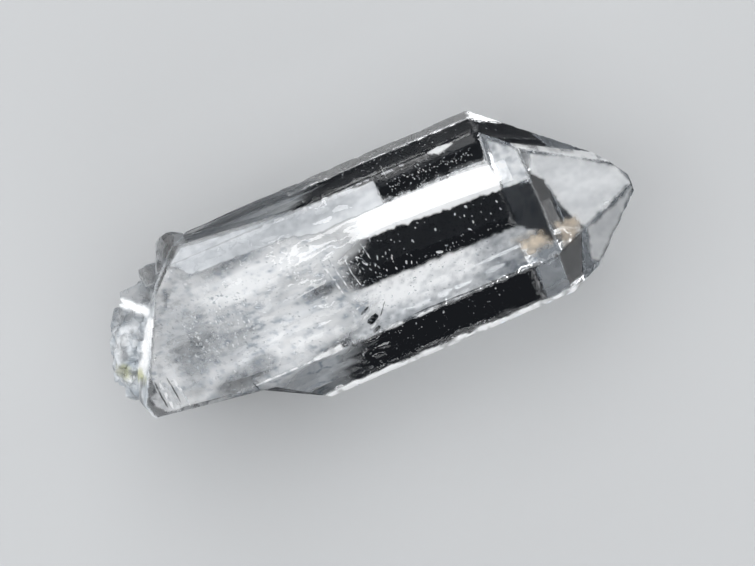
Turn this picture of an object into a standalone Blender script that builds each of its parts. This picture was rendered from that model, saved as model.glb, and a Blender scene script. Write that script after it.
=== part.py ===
"""A natural quartz crystal, one solid, lying on a narrow prism face with its tip along +X.

The crystal is grown in its own frame: X runs along its long axis from the root, at 0, to the tip,
Y runs across, and Z runs up from the face that it lies on. At the end it is moved so that the origin
is the middle of its bounding box, at the bottom. Lengths are in metres.

A crystal face is named as a mineralogist would name it: m1 to m6 are the prism faces, r1, r3 and r5
the large end faces and z2, z4 and z6 the small ones. An end face stands over the prism face with its
number. A face's azimuth is the angle of its outward normal about the long axis, from +Y towards +Z.
"""

import math
import random

import bmesh
import bpy
from mathutils import Euler, Matrix, Vector

MM = 0.001
NAME = "quartz_crystal"

# The prism: three wide faces and three narrow ones, turn and turn about
WIDE_FACE_OUT = 8.40 * MM
NARROW_FACE_OUT = 10.58 * MM
AXIS_UP = NARROW_FACE_OUT
FRONT_UP = AXIS_UP + WIDE_FACE_OUT
AZIMUTH = {1: 90, 2: 30, 3: -30, 4: -90, 5: -150, 6: 150}
WIDE_FACES = (1, 3, 5)

# The pointed end. The angle between an end face's normal and the long axis is the same on all quartz,
# and each end face meets the prism face under it at its own distance from the root.
UPRIGHT = math.radians(90)
END_FACE_LEAN = math.radians(51.79)
SHOULDER = {1: 46.7 * MM, 2: 43.7 * MM, 3: 43.5 * MM, 4: 43.8 * MM, 5: 49.9 * MM, 6: 46.3 * MM}

# The extra face along the edge of r1 and z2, which widens towards the tip: where it starts on that edge,
# and the azimuth in degrees and the lean of its normal
EXTRA_FACE_FROM = (46.69 * MM, 4.38 * MM, 18.99 * MM)
EXTRA_FACE_AZIMUTH = 61.5
EXTRA_FACE_LEAN = math.radians(47.1)

# Small breaks that blunt the tip: a point on each and the way it faces
TIP_CHIPS = (
    ((56.45 * MM, -2.6 * MM, 10.4 * MM), (0.98, -0.12, 0.16)),
    ((56.15 * MM, -1.3 * MM, 11.4 * MM), (0.86, 0.42, 0.30)),
)

# Gentle second faces on the wide faces underneath: the prism face's number, the lean in degrees, towards
# the root if over 0, and the distance from the root where it leaves the prism face
SECOND_FACES = (
    (3, 2.4, 17 * MM),
    (3, -1.0, 31 * MM),
    (5, 1.5, 21 * MM),
    (5, -0.9, 37 * MM),
)

# The long worn edge between m5 and m6
WORN_AZIMUTH = 170
WORN_DEPTH = 0.14 * MM

# The root: breaks through the crystal, as a point on each and the way it faces
BREAKS = (
    ((5.30 * MM, 1.30 * MM, FRONT_UP), (-0.80, 0.41, 0.43)),
    ((9.40 * MM, 7.50 * MM, FRONT_UP), (-0.68, 0.72, 0.10)),
    ((2.25 * MM, -5.10 * MM, FRONT_UP), (-0.96, -0.20, 0.19)),
    ((3.20 * MM, -2.00 * MM, 10.0 * MM), (-0.97, 0.14, -0.20)),
    ((7.60 * MM, 0.00 * MM, 2.2 * MM), (-0.70, 0.10, -0.71)),
    ((3.45 * MM, -6.60 * MM, 13.0 * MM), (-0.82, -0.56, -0.08)),
    ((9.20 * MM, 9.60 * MM, 11.0 * MM), (-0.80, 0.58, -0.12)),
)

# The side broken away between the root and the worn edge: a point on each of its two faces, and the way
# each faces out of what is left
NOTCH = (
    ((9.20 * MM, -7.35 * MM, FRONT_UP), (-0.155, -0.98, -0.083)),
    ((13.7 * MM, -7.39 * MM, FRONT_UP), (-0.507, -0.862, 0.012)),
)

# The overgrowth that widens the front face towards the root: it lies a little below the front face, and its
# foot rises a little from the edge of m2 and m3
OVERGROWTH_FROM = 9.6 * MM
OVERGROWTH_TO = 24.5 * MM
OVERGROWTH_WIDER = 1.75 * MM
OVERGROWTH_SUNK = 0.06 * MM
OVERGROWTH_FOOT = Vector((0, -0.1 * MM, 0.6 * MM))
OVERGROWTH_INSIDE = 0.15 * MM
OVERGROWTH_PAST_BREAK = 0.25 * MM

# Lumps of crystal that stand against the root's upper corner like steps: the outline of each, seen from
# above, and its lowest, widest and highest levels
ROOT_LUMPS = (
    (
        ((11.9, 10.6), (10.9, 11.2), (9.6, 10.9), (9.0, 10.3), (8.4, 8.8), (7.6, 6.7), (10.4, 6.9)),
        (9.6, 14.6, 17.6),
    ),
    (
        ((9.2, 6.4), (9.0, 8.9), (7.5, 9.1), (6.1, 8.9), (5.9, 8.1), (6.2, 6.4)),
        (8.2, 13.4, 15.8),
    ),
    (
        ((7.0, 5.2), (6.6, 7.9), (4.4, 7.7), (3.2, 7.8), (2.9, 6.9), (3.4, 5.6)),
        (6.2, 11.6, 14.2),
    ),
)
LUMP_TAPER = 0.78

# The stub of older quartz that the crystal grew from
STUB_CENTRE = (3.72 * MM, 2.15 * MM, 9.80 * MM)
STUB_RADII = (3.45 * MM, 5.95 * MM, 5.90 * MM)
STUB_TURN = math.radians(-27.3)
STUB_TOP = FRONT_UP - 2.2 * MM
STUB_TOP_WAY = (-0.22, 0.05, 1)
STUB_SEED = 3
STUB_ROUGH = 0.13

# Knobs on the stub, and sugary grains on it and on the breaks: how many, their sizes, and how much of a
# radius is sunk
GRAIN_SEED = 17
STUB_KNOBS = 30
KNOB_RADIUS = (1.2 * MM, 2.2 * MM)
KNOB_SUNK = 0.58
STUB_GRAINS = 74
BREAK_GRAINS = 56
GRAIN_RADIUS = (0.60 * MM, 1.15 * MM)
GRAIN_STRETCH = (0.75, 1.15)
GRAIN_SUNK = 0.30

# Where the grains are: how low, how far across and how far under the front face, and how far inside the
# prism. On the stub most of them face away from the crystal, by the mean and the spread of their ways.
LOWEST_GRAIN = 1.7 * MM
GRAINS_ACROSS = (-2.6 * MM, 10.9 * MM)
GRAINS_UNDER_FRONT = 1.9 * MM
GRAINS_INSIDE = 0.9 * MM
GRAINS_PAST_BREAK = 0.3 * MM
GRAIN_WAYS = ((-0.5, 0.7), (0, 1), (0.2, 1))

# Small crystals among the grains: their radii, their lengths in radii, the slope of their end faces and
# how much they lean from the surface
SMALL_CRYSTALS = 14
SMALL_CRYSTAL_RADIUS = (0.45 * MM, 0.75 * MM)
SMALL_CRYSTAL_LENGTH = (2.2, 3.0)
SMALL_CRYSTAL_SLOPE = 0.8
SMALL_CRYSTAL_LEAN = 0.35

# Chips along the edges: their radii, how much of a radius they bite and how much longer they are along
# the edge. Then, for each edge, the two faces that meet there (an m for the prism, an e for the pointed
# end), the stretch along the crystal and how many.
CHIP_SEED = 11
CHIP_RADIUS = (0.50 * MM, 1.10 * MM)
CHIP_BITE = (0.22, 0.42)
CHIP_LONGER = (1.4, 3.6)
CHIPPED_EDGES = (
    ("m2", "m3", 13 * MM, 43 * MM, 12),
    ("m5", "m6", 16 * MM, 46 * MM, 9),
    ("m1", "m6", 15 * MM, 44 * MM, 4),
    ("m1", "m2", 27 * MM, 42 * MM, 2),
    ("m3", "m4", 12 * MM, 25 * MM, 2),
    ("m4", "m5", 12 * MM, 25 * MM, 2),
    ("e2", "e3", 44 * MM, 53 * MM, 3),
    ("e5", "e6", 50 * MM, 55 * MM, 3),
    ("e1", "e6", 48 * MM, 54 * MM, 1),
    ("e6", "m5", 47 * MM, 49 * MM, 2),
)

QUARTZ_COLOUR = (0.93, 0.94, 0.95, 1.0)
QUARTZ_ROUGHNESS = 0.12
SAME_POINT = 1e-7


def clear_scene():
    """Removes what the scene starts with."""
    for item in list(bpy.data.objects):
        bpy.data.objects.remove(item)


def new_collection(name):
    """A collection of the scene."""
    made = bpy.data.collections.new(name)
    bpy.context.scene.collection.children.link(made)
    return made


def direction(azimuth, lean=UPRIGHT):
    """The unit vector at an azimuth in degrees about the long axis, and at an angle from that axis."""
    turn = math.radians(azimuth)
    out = math.sin(lean)
    return Vector((math.cos(lean), out * math.cos(turn), out * math.sin(turn)))


def prism_point(face, along, proud=0.0):
    """The point of a prism face's middle line at a distance along the crystal."""
    out = WIDE_FACE_OUT if face in WIDE_FACES else NARROW_FACE_OUT
    return Vector((along, 0, AXIS_UP)) + (out + proud) * direction(AZIMUTH[face])


def face_plane(name):
    """A point and the normal of a crystal face, named m or e for prism or end, and its number."""
    face = int(name[1])
    if name[0] == "m":
        return prism_point(face, 0), direction(AZIMUTH[face])
    return prism_point(face, SHOULDER[face]), direction(AZIMUTH[face], END_FACE_LEAN)


def edge_point(first, second, along):
    """Where the planes of two crystal faces cross at a distance along the crystal."""
    rows = []
    reach = []
    for point, normal in (face_plane(first), face_plane(second)):
        rows.append((normal.y, normal.z))
        reach.append(normal.dot(point) - normal.x * along)
    across = Matrix(rows).inverted() @ Vector(reach)
    return Vector((along, *across))


def block(low, high):
    """A box between two corners."""
    shape = bmesh.new()
    size = Vector(high) - Vector(low)
    middle = (Vector(high) + Vector(low)) / 2
    bmesh.ops.create_cube(shape, size=1, matrix=Matrix.Translation(middle) @ Matrix.Diagonal((*size, 1)))
    return shape


def cleave(shape, point, normal):
    """Cuts a convex shape along a plane, and keeps the side that the normal points away from."""
    everything = [*shape.verts, *shape.edges, *shape.faces]
    way = Vector(normal).normalized()
    cut = bmesh.ops.bisect_plane(
        shape, geom=everything, dist=SAME_POINT, plane_co=point, plane_no=way, clear_outer=True
    )
    rim = [piece for piece in cut["geom_cut"] if isinstance(piece, bmesh.types.BMEdge)]
    if rim:
        bmesh.ops.edgeloop_fill(shape, edges=rim)


def made_object(shape, name, collection):
    """Turns a bmesh into an object, its faces pointing out."""
    bmesh.ops.remove_doubles(shape, verts=shape.verts, dist=SAME_POINT)
    bmesh.ops.recalc_face_normals(shape, faces=shape.faces)
    mesh = bpy.data.meshes.new(name)
    shape.to_mesh(mesh)
    shape.free()
    made = bpy.data.objects.new(name, mesh)
    collection.objects.link(made)
    return made


def made_helper(shape, name, collection):
    """An object that is joined to the crystal or cut from it, and isn't rendered."""
    helper = made_object(shape, name, collection)
    helper.hide_render = True
    helper.display_type = "WIRE"
    return helper


def crystal_body(collection):
    """The prism and its pointed end, cleft from a block face by face, and broken off at the root."""
    shape = block((-5 * MM, -20 * MM, -10 * MM), (70 * MM, 20 * MM, 30 * MM))
    for face in AZIMUTH:
        cleave(shape, *face_plane(f"m{face}"))
        cleave(shape, *face_plane(f"e{face}"))
    cleave(shape, EXTRA_FACE_FROM, direction(EXTRA_FACE_AZIMUTH, EXTRA_FACE_LEAN))
    for point, normal in TIP_CHIPS:
        cleave(shape, point, normal)
    for face, lean, along in SECOND_FACES:
        cleave(shape, prism_point(face, along), direction(AZIMUTH[face], UPRIGHT + math.radians(lean)))
    worn = direction(WORN_AZIMUTH)
    cleave(shape, edge_point("m5", "m6", 0) - WORN_DEPTH * worn, worn)
    for point, normal in BREAKS:
        cleave(shape, point, normal)
    return made_object(shape, NAME, collection)


def overgrowth(collection):
    """The thin wedge of later quartz along the edge of m1 and m2, which fades out towards the tip."""
    front_edge = edge_point("m1", "m2", OVERGROWTH_TO)
    wide_end = edge_point("m1", "m2", OVERGROWTH_FROM) + Vector((0, OVERGROWTH_WIDER, 0))
    foot = edge_point("m2", "m3", OVERGROWTH_FROM) + OVERGROWTH_FOOT
    outward = (wide_end - front_edge).cross(foot - front_edge)
    far_corner = (OVERGROWTH_TO, 12 * MM, FRONT_UP - OVERGROWTH_SUNK)
    shape = block((OVERGROWTH_FROM - 2 * MM, 4 * MM, 12 * MM), far_corner)
    cleave(shape, front_edge, outward if outward.y > 0 else -outward)
    point, normal = face_plane("m3")
    cleave(shape, point - OVERGROWTH_INSIDE * normal, normal)
    point, normal = BREAKS[1]
    cleave(shape, Vector(point) - Vector((OVERGROWTH_PAST_BREAK, 0, 0)), normal)
    return made_helper(shape, "overgrowth", collection)


def root_lump(number, outline, levels, collection):
    """A lump with flat sides: its outline at the widest level, and smaller at its bottom and top."""
    middle = sum((Vector(point) for point in outline), Vector((0, 0))) / len(outline)
    shape = bmesh.new()
    for level, size in zip(levels, (LUMP_TAPER, 1, LUMP_TAPER)):
        for point in outline:
            across = middle + size * (Vector(point) - middle)
            shape.verts.new(Vector((*across, level)) * MM)
    bmesh.ops.convex_hull(shape, input=shape.verts)
    return made_helper(shape, f"root_lump_{number}", collection)


def stub_place():
    """From the unit sphere to the stub of older quartz."""
    turn = Matrix.Rotation(STUB_TURN, 4, "Z")
    return Matrix.Translation(STUB_CENTRE) @ turn @ Matrix.Diagonal((*STUB_RADII, 1))


def stub(collection):
    """The rough stub, an uneven many-sided lump with a flatter top."""
    chance = random.Random(STUB_SEED)
    shape = bmesh.new()
    bmesh.ops.create_icosphere(shape, subdivisions=2, radius=1)
    for vertex in shape.verts:
        vertex.co *= 1 + chance.uniform(-STUB_ROUGH, STUB_ROUGH)
    shape.transform(stub_place())
    bmesh.ops.delete(shape, geom=shape.edges, context="EDGES_FACES")
    bmesh.ops.convex_hull(shape, input=shape.verts)
    cleave(shape, (0, 0, STUB_TOP), STUB_TOP_WAY)
    return made_helper(shape, "stub", collection)


def break_surface(across, up):
    """How far from the root the breaks leave the crystal, at a place seen along its length."""
    depths = []
    for point, normal in BREAKS:
        away = (point[1] - across) * normal[1] + (point[2] - up) * normal[2]
        depths.append(point[0] + away / normal[0])
    return max(depths)


def inside_prism(across, up, margin):
    """Whether a place seen along the crystal is inside every prism face by a margin."""
    place = Vector((0, across, up))
    return all((prism_point(face, 0) - place).dot(direction(AZIMUTH[face])) > margin for face in AZIMUTH)


def stub_places(chance, count):
    """Places on the part of the stub that stands out of the crystal, and the way each faces."""
    place = stub_place()
    middle = Vector(STUB_CENTRE)
    found = []
    while len(found) < count:
        way = Vector([chance.gauss(*spread) for spread in GRAIN_WAYS]).normalized()
        spot = place @ way
        spot.z = min(spot.z, STUB_TOP)
        buried = spot.x > break_surface(spot.y, spot.z) - GRAINS_PAST_BREAK
        if not buried and spot.z > LOWEST_GRAIN and spot.y > GRAINS_ACROSS[0]:
            found.append((spot, (spot - middle).normalized()))
    return found


def break_places(chance, count):
    """Places on the breaks, below the front face's rim, and the way each faces."""
    found = []
    while len(found) < count:
        across = chance.uniform(*GRAINS_ACROSS)
        up = chance.uniform(LOWEST_GRAIN, FRONT_UP - GRAINS_UNDER_FRONT)
        if inside_prism(across, up, GRAINS_INSIDE):
            found.append((Vector((break_surface(across, up), across, up)), Vector((-1, 0, 0))))
    return found


def grain(chance, spot, radius):
    """One sugary grain: a rough little lump."""
    shape = bmesh.new()
    bmesh.ops.create_icosphere(shape, subdivisions=1, radius=radius)
    stretch = Matrix.Diagonal([chance.uniform(*GRAIN_STRETCH) for _ in range(3)]).to_4x4()
    turn = Euler([chance.uniform(0, math.tau) for _ in range(3)]).to_matrix().to_4x4()
    shape.transform(Matrix.Translation(spot) @ turn @ stretch)
    return shape


def small_crystal(chance, spot, way, radius):
    """A stubby six-sided crystal that points roughly out of the root."""
    shape = bmesh.new()
    length = radius * chance.uniform(*SMALL_CRYSTAL_LENGTH)
    bmesh.ops.create_cone(shape, cap_ends=True, segments=6, radius1=radius, radius2=radius, depth=length)
    for number in range(6):
        side = math.radians(60 * number + 30)
        slope = Vector((math.cos(side), math.sin(side), SMALL_CRYSTAL_SLOPE))
        cleave(shape, (0, 0, length / 2), slope)
    lean = Vector([chance.gauss(0, SMALL_CRYSTAL_LEAN) for _ in range(3)])
    turn = (way + lean).to_track_quat("Z", "Y").to_matrix().to_4x4()
    shape.transform(Matrix.Translation(spot) @ turn)
    return shape


def lumps(chance, name, places, radii, sunk, collection):
    """A grain or knob at each place, partly sunk."""
    for number, (spot, way) in enumerate(places):
        radius = chance.uniform(*radii)
        shape = grain(chance, spot - sunk * radius * way, radius)
        made_helper(shape, f"{name}_{number}", collection)


def sugary_root(collection):
    """Every knob, grain and small crystal on the root."""
    chance = random.Random(GRAIN_SEED)
    lumps(chance, "knob", stub_places(chance, STUB_KNOBS), KNOB_RADIUS, KNOB_SUNK, collection)
    places = stub_places(chance, STUB_GRAINS) + break_places(chance, BREAK_GRAINS)
    lumps(chance, "grain", places, GRAIN_RADIUS, GRAIN_SUNK, collection)
    for number, (spot, way) in enumerate(stub_places(chance, SMALL_CRYSTALS)):
        radius = chance.uniform(*SMALL_CRYSTAL_RADIUS)
        shape = small_crystal(chance, spot, way, radius)
        made_helper(shape, f"small_crystal_{number}", collection)


def side_notch(collection):
    """A cutter for the side that is broken away: all that is outside both of its faces."""
    shape = block((-5 * MM, -20 * MM, -5 * MM), (30 * MM, 0, 25 * MM))
    for point, normal in NOTCH:
        cleave(shape, point, -Vector(normal))
    return made_helper(shape, "side_notch", collection)


def edge_chips(collection):
    """Rough little cutters along the crystal's edges, each of which bites a shallow chip."""
    chance = random.Random(CHIP_SEED)
    number = 0
    for first, second, start, end, count in CHIPPED_EDGES:
        outward = (face_plane(first)[1] + face_plane(second)[1]).normalized()
        way = (edge_point(first, second, end) - edge_point(first, second, start)).normalized()
        for place in range(count):
            along = start + (end - start) * (place + chance.random()) / count
            radius = chance.uniform(*CHIP_RADIUS)
            bite = chance.uniform(*CHIP_BITE)
            spot = edge_point(first, second, along) + (1 - bite) * radius * outward
            shape = grain(chance, Vector(), radius)
            shape.transform(Matrix.Scale(chance.uniform(*CHIP_LONGER), 4, way))
            shape.transform(Matrix.Translation(spot))
            made_helper(shape, f"chip_{number}", collection)
            number += 1


def boolean(target, name, operation, collection):
    """Joins all of a collection to the target, or cuts it away."""
    modifier = target.modifiers.new(name, "BOOLEAN")
    modifier.operation = operation
    modifier.solver = "EXACT"
    modifier.operand_type = "COLLECTION"
    modifier.collection = collection


def quartz():
    """Clear, colourless quartz."""
    material = bpy.data.materials.new("quartz")
    material.use_nodes = True
    shader = material.node_tree.nodes["Principled BSDF"]
    shader.inputs["Base Color"].default_value = QUARTZ_COLOUR
    shader.inputs["Roughness"].default_value = QUARTZ_ROUGHNESS
    shader.inputs["Metallic"].default_value = 0.0
    return material


def applied(target):
    """Replaces the object's mesh by its mesh with the modifiers applied."""
    bpy.context.view_layer.update()
    graph = bpy.context.evaluated_depsgraph_get()
    mesh = bpy.data.meshes.new_from_object(target.evaluated_get(graph))
    target.modifiers.clear()
    target.data = mesh


def fill_pockets(target):
    """Deletes the walls of the closed pockets between grains, which leaves the one outer surface."""
    shape = bmesh.new()
    shape.from_mesh(target.data)
    left = set(shape.verts)
    pieces = []
    while left:
        piece = set()
        edge = [left.pop()]
        while edge:
            vertex = edge.pop()
            piece.add(vertex)
            near = {side.other_vert(vertex) for side in vertex.link_edges} & left
            left -= near
            edge.extend(near)
        pieces.append(piece)
    outer = max(pieces, key=len)
    bmesh.ops.delete(shape, geom=[vertex for vertex in shape.verts if vertex not in outer])
    shape.to_mesh(target.data)
    shape.free()


def rest_on_origin(target):
    """Moves the mesh so that the middle of its bounding box is over the origin and its bottom at 0."""
    corners = [vertex.co for vertex in target.data.vertices]
    low = Vector([min(corner[axis] for corner in corners) for axis in range(3)])
    high = Vector([max(corner[axis] for corner in corners) for axis in range(3)])
    middle = (low + high) / 2
    target.data.transform(Matrix.Translation((-middle.x, -middle.y, -low.z)))


def main():
    clear_scene()
    parts = new_collection(NAME)
    additions = new_collection("additions")
    cutters = new_collection("cutters")
    crystal = crystal_body(parts)
    overgrowth(additions)
    for number, (outline, levels) in enumerate(ROOT_LUMPS):
        root_lump(number, outline, levels, additions)
    stub(additions)
    sugary_root(additions)
    side_notch(cutters)
    edge_chips(cutters)
    boolean(crystal, "grown together", "UNION", additions)
    boolean(crystal, "chipped", "DIFFERENCE", cutters)
    applied(crystal)
    fill_pockets(crystal)
    rest_on_origin(crystal)
    crystal.data.materials.clear()
    crystal.data.materials.append(quartz())


main()
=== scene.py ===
"""The looks of a natural quartz crystal, lying on a narrow prism face with its tip along +X.

The clear skin is the crystal's own solid, cut into a fine net with relief. Inside it are milky veils
that fade out towards the tip, hazes close under single faces, a healed crack, open gaps and small
specks. Lengths are in metres, in the frame's own axes, unless a docstring or comment says millimetres.
Along is the distance from the root, and across is the distance from the long axis towards +Y.
"""

import logging
import math
from dataclasses import dataclass, field, replace
from enum import Enum

import bmesh
import bpy
import numpy as np
from mathutils import Matrix, Vector
from mathutils.geometry import delaunay_2d_cdt


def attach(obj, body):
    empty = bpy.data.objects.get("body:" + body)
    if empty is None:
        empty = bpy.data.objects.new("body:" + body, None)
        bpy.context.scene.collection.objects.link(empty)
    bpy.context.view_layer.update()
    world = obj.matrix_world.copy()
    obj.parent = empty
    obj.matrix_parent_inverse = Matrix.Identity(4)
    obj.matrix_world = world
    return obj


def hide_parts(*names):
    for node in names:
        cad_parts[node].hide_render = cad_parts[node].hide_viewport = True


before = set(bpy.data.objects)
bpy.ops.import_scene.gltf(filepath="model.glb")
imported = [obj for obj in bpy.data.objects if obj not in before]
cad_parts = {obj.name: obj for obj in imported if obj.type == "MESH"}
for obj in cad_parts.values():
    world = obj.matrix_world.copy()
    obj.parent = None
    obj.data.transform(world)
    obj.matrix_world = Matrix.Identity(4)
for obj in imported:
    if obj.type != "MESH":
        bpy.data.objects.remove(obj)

LOG = logging.getLogger("quartz")
MM = 0.001
NODE = "quartz_crystal"
BODY = "root"

# The prism, in millimetres: how far its wide and narrow faces are from the long axis, and the front face's
# height over the bottom
WIDE = 8.40
NARROW = 10.58
TOP = WIDE + NARROW

# Value noise: the primes that number its cells, how many random values it has, how far each layer is moved
# on from the last, and what brings the sum of the layers to about 1
HASH_PRIMES = (73856093, 19349663, 83492791)
TABLE_SIZE = 4096
LAYER_SHIFT = 17.3
LAYER_SUM = 1.4

# How many places are worked on at once, and the least milk that a sheet's face is kept for
AT_ONCE = 4000
LEAST_MILK = 0.004


class Tone(Enum):
    """The kinds of milk inside."""

    WHITE = "milk"
    STAINED = "stained milk"


# Small functions on arrays


def smooth(low: float, high: float, value: np.ndarray) -> np.ndarray:
    """Ramps smoothly from 0 to 1.

    Args:
        low: The value where the ramp is 0. It may be more than high.
        high: The value where the ramp is 1.
        value: What is ramped.

    Returns:
        3 t^2 - 2 t^3, where t is how far the value is from low to high, kept within 0 and 1.
    """
    t = np.clip((value - low) / (high - low), 0, 1)
    return t * t * (3 - 2 * t)


def lattice_noise(points: np.ndarray, seed: int) -> np.ndarray:
    """Smooth value noise over space.

    Args:
        points: An array of places, one row each, in units of the noise's own cell.
        seed: Which noise it is.

    Returns:
        A value from -1 to 1 for each place: the random values at the eight corners of its cell, blended
        by smooth ramps along the three axes.
    """
    table = np.random.default_rng(seed).uniform(-1, 1, TABLE_SIZE)
    cell = np.floor(points).astype(np.int64)
    part = points - cell
    part = part * part * (3 - 2 * part)
    total = np.zeros(len(points))
    for corner in range(8):
        step = np.array([corner & 1, corner >> 1 & 1, corner >> 2 & 1])
        place = (cell + step) * HASH_PRIMES
        value = table[(place[:, 0] ^ place[:, 1] ^ place[:, 2]) % TABLE_SIZE]
        weight = np.where(step == 1, part, 1 - part).prod(axis=1)
        total += weight * value
    return total


def layered_noise(
    points: np.ndarray, cell: tuple[float, float, float], layers: int, seed: int
) -> np.ndarray:
    """Noise with finer noise on it.

    Args:
        points: An array of places, one row each.
        cell: The size of the coarsest noise's cell along each axis.
        layers: How many noises there are, each half the size and half the strength of the last.
        seed: Which noise it is.

    Returns:
        A value from about -1 to 1 for each place.
    """
    total = np.zeros(len(points))
    for layer in range(layers):
        total += lattice_noise(points / cell * 2**layer + LAYER_SHIFT * layer, seed + layer) / 2**layer
    return total / LAYER_SUM


def depth_within(outline: np.ndarray, places: np.ndarray) -> np.ndarray:
    """How deep inside a flat outline each place is.

    Args:
        outline: The outline's corners, in order.
        places: The places, one row each.

    Returns:
        The distance to the nearest side, below 0 outside. A place is inside if a ray from it crosses the
        outline an odd number of times.
    """
    a, b = outline, np.roll(outline, -1, axis=0)
    way = b - a
    rise = np.where(way[:, 1] == 0, 1, way[:, 1])
    depths = []
    for part in np.array_split(places, max(1, len(places) // AT_ONCE)):
        p = part[:, None]
        crosses = (a[:, 1] > p[..., 1]) != (b[:, 1] > p[..., 1])
        left = p[..., 0] < a[:, 0] + (p[..., 1] - a[:, 1]) / rise * way[:, 0]
        inside = (crosses & left).sum(axis=1) % 2 == 1
        t = np.clip(((p - a) * way).sum(-1) / np.maximum((way * way).sum(-1), 1e-12), 0, 1)
        far = np.linalg.norm(p - (a + t[..., None] * way), axis=-1).min(axis=1)
        depths.append(np.where(inside, far, -far))
    return np.concatenate(depths)


def far_from_line(places: np.ndarray, line: np.ndarray) -> np.ndarray:
    """How far each place is from a line of straight stretches.

    Args:
        places: The places, one row each.
        line: The line's points, in order.

    Returns:
        The least, over the stretches, of the distance to the stretch's nearest point.
    """
    near = np.full(len(places), np.inf)
    for a, b in zip(line[:-1], line[1:]):
        way = b - a
        t = np.clip((places - a) @ way / (way @ way), 0, 1)
        near = np.minimum(near, np.linalg.norm(places - (a + t[:, None] * way), axis=1))
    return near


# Meshes


def mesh_object(name: str, points: np.ndarray, faces: np.ndarray) -> bpy.types.Object:
    """Makes an object at the origin from arrays.

    Args:
        name: The object's name.
        points: The places of the vertices, one row each.
        faces: The vertices of the faces, one row each. All the faces have the same number of corners.

    Returns:
        The object, linked to the scene.
    """
    mesh = bpy.data.meshes.new(name)
    count, corners = faces.shape
    mesh.vertices.add(len(points))
    mesh.vertices.foreach_set("co", np.ascontiguousarray(points, np.float32).ravel())
    mesh.loops.add(count * corners)
    mesh.loops.foreach_set("vertex_index", np.ascontiguousarray(faces, np.int32).ravel())
    mesh.polygons.add(count)
    mesh.polygons.foreach_set("loop_start", np.arange(0, count * corners, corners, dtype=np.int32))
    mesh.update(calc_edges=True)
    mesh.validate()
    mesh.shade_smooth()
    piece = bpy.data.objects.new(name, mesh)
    bpy.context.scene.collection.objects.link(piece)
    return piece


def grid_faces(rows: int, columns: int, closed: bool = False) -> np.ndarray:
    """The faces of a grid of points.

    Args:
        rows: How many rows of points there are.
        columns: How many points a row has.
        closed: Whether the last point of a row joins its first.

    Returns:
        The four vertices of each face, one row each.
    """
    last = columns if closed else columns - 1
    i, j = np.meshgrid(np.arange(rows - 1), np.arange(last), indexing="ij")
    after = (j + 1) % columns
    return np.stack(
        [i * columns + j, i * columns + after, (i + 1) * columns + after, (i + 1) * columns + j], axis=-1
    ).reshape(-1, 4)


def give_attribute(piece: bpy.types.Object, name: str, values: np.ndarray) -> None:
    """Gives each vertex of a piece a number that its finish can read.

    Args:
        piece: The piece.
        name: The attribute's name.
        values: One number for each vertex.
    """
    layer = piece.data.attributes.new(name, "FLOAT", "POINT")
    layer.data.foreach_set("value", np.ascontiguousarray(values, np.float32))


def thin_out(piece: bpy.types.Object, milky: np.ndarray) -> None:
    """Takes away the faces of a sheet that have no milk at any corner.

    Args:
        piece: The sheet.
        milky: Whether each point has milk.
    """
    shape = bmesh.new()
    shape.from_mesh(piece.data)
    shape.faces.ensure_lookup_table()
    bare = [face for face in shape.faces if not any(milky[v.index] for v in face.verts)]
    bmesh.ops.delete(shape, geom=bare, context="FACES")
    shape.to_mesh(piece.data)
    shape.free()


def settle(piece: bpy.types.Object, material: bpy.types.Material, *nodes: str) -> None:
    """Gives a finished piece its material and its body.

    Args:
        piece: The piece.
        material: Its material.
        nodes: The solids that it stands for.
    """
    piece.data.materials.clear()
    piece.data.materials.append(material)
    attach(piece, BODY)
    if nodes:
        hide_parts(*nodes)
    LOG.info("%s: %d faces", piece.name, len(piece.data.polygons))


# Shader nodes


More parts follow.
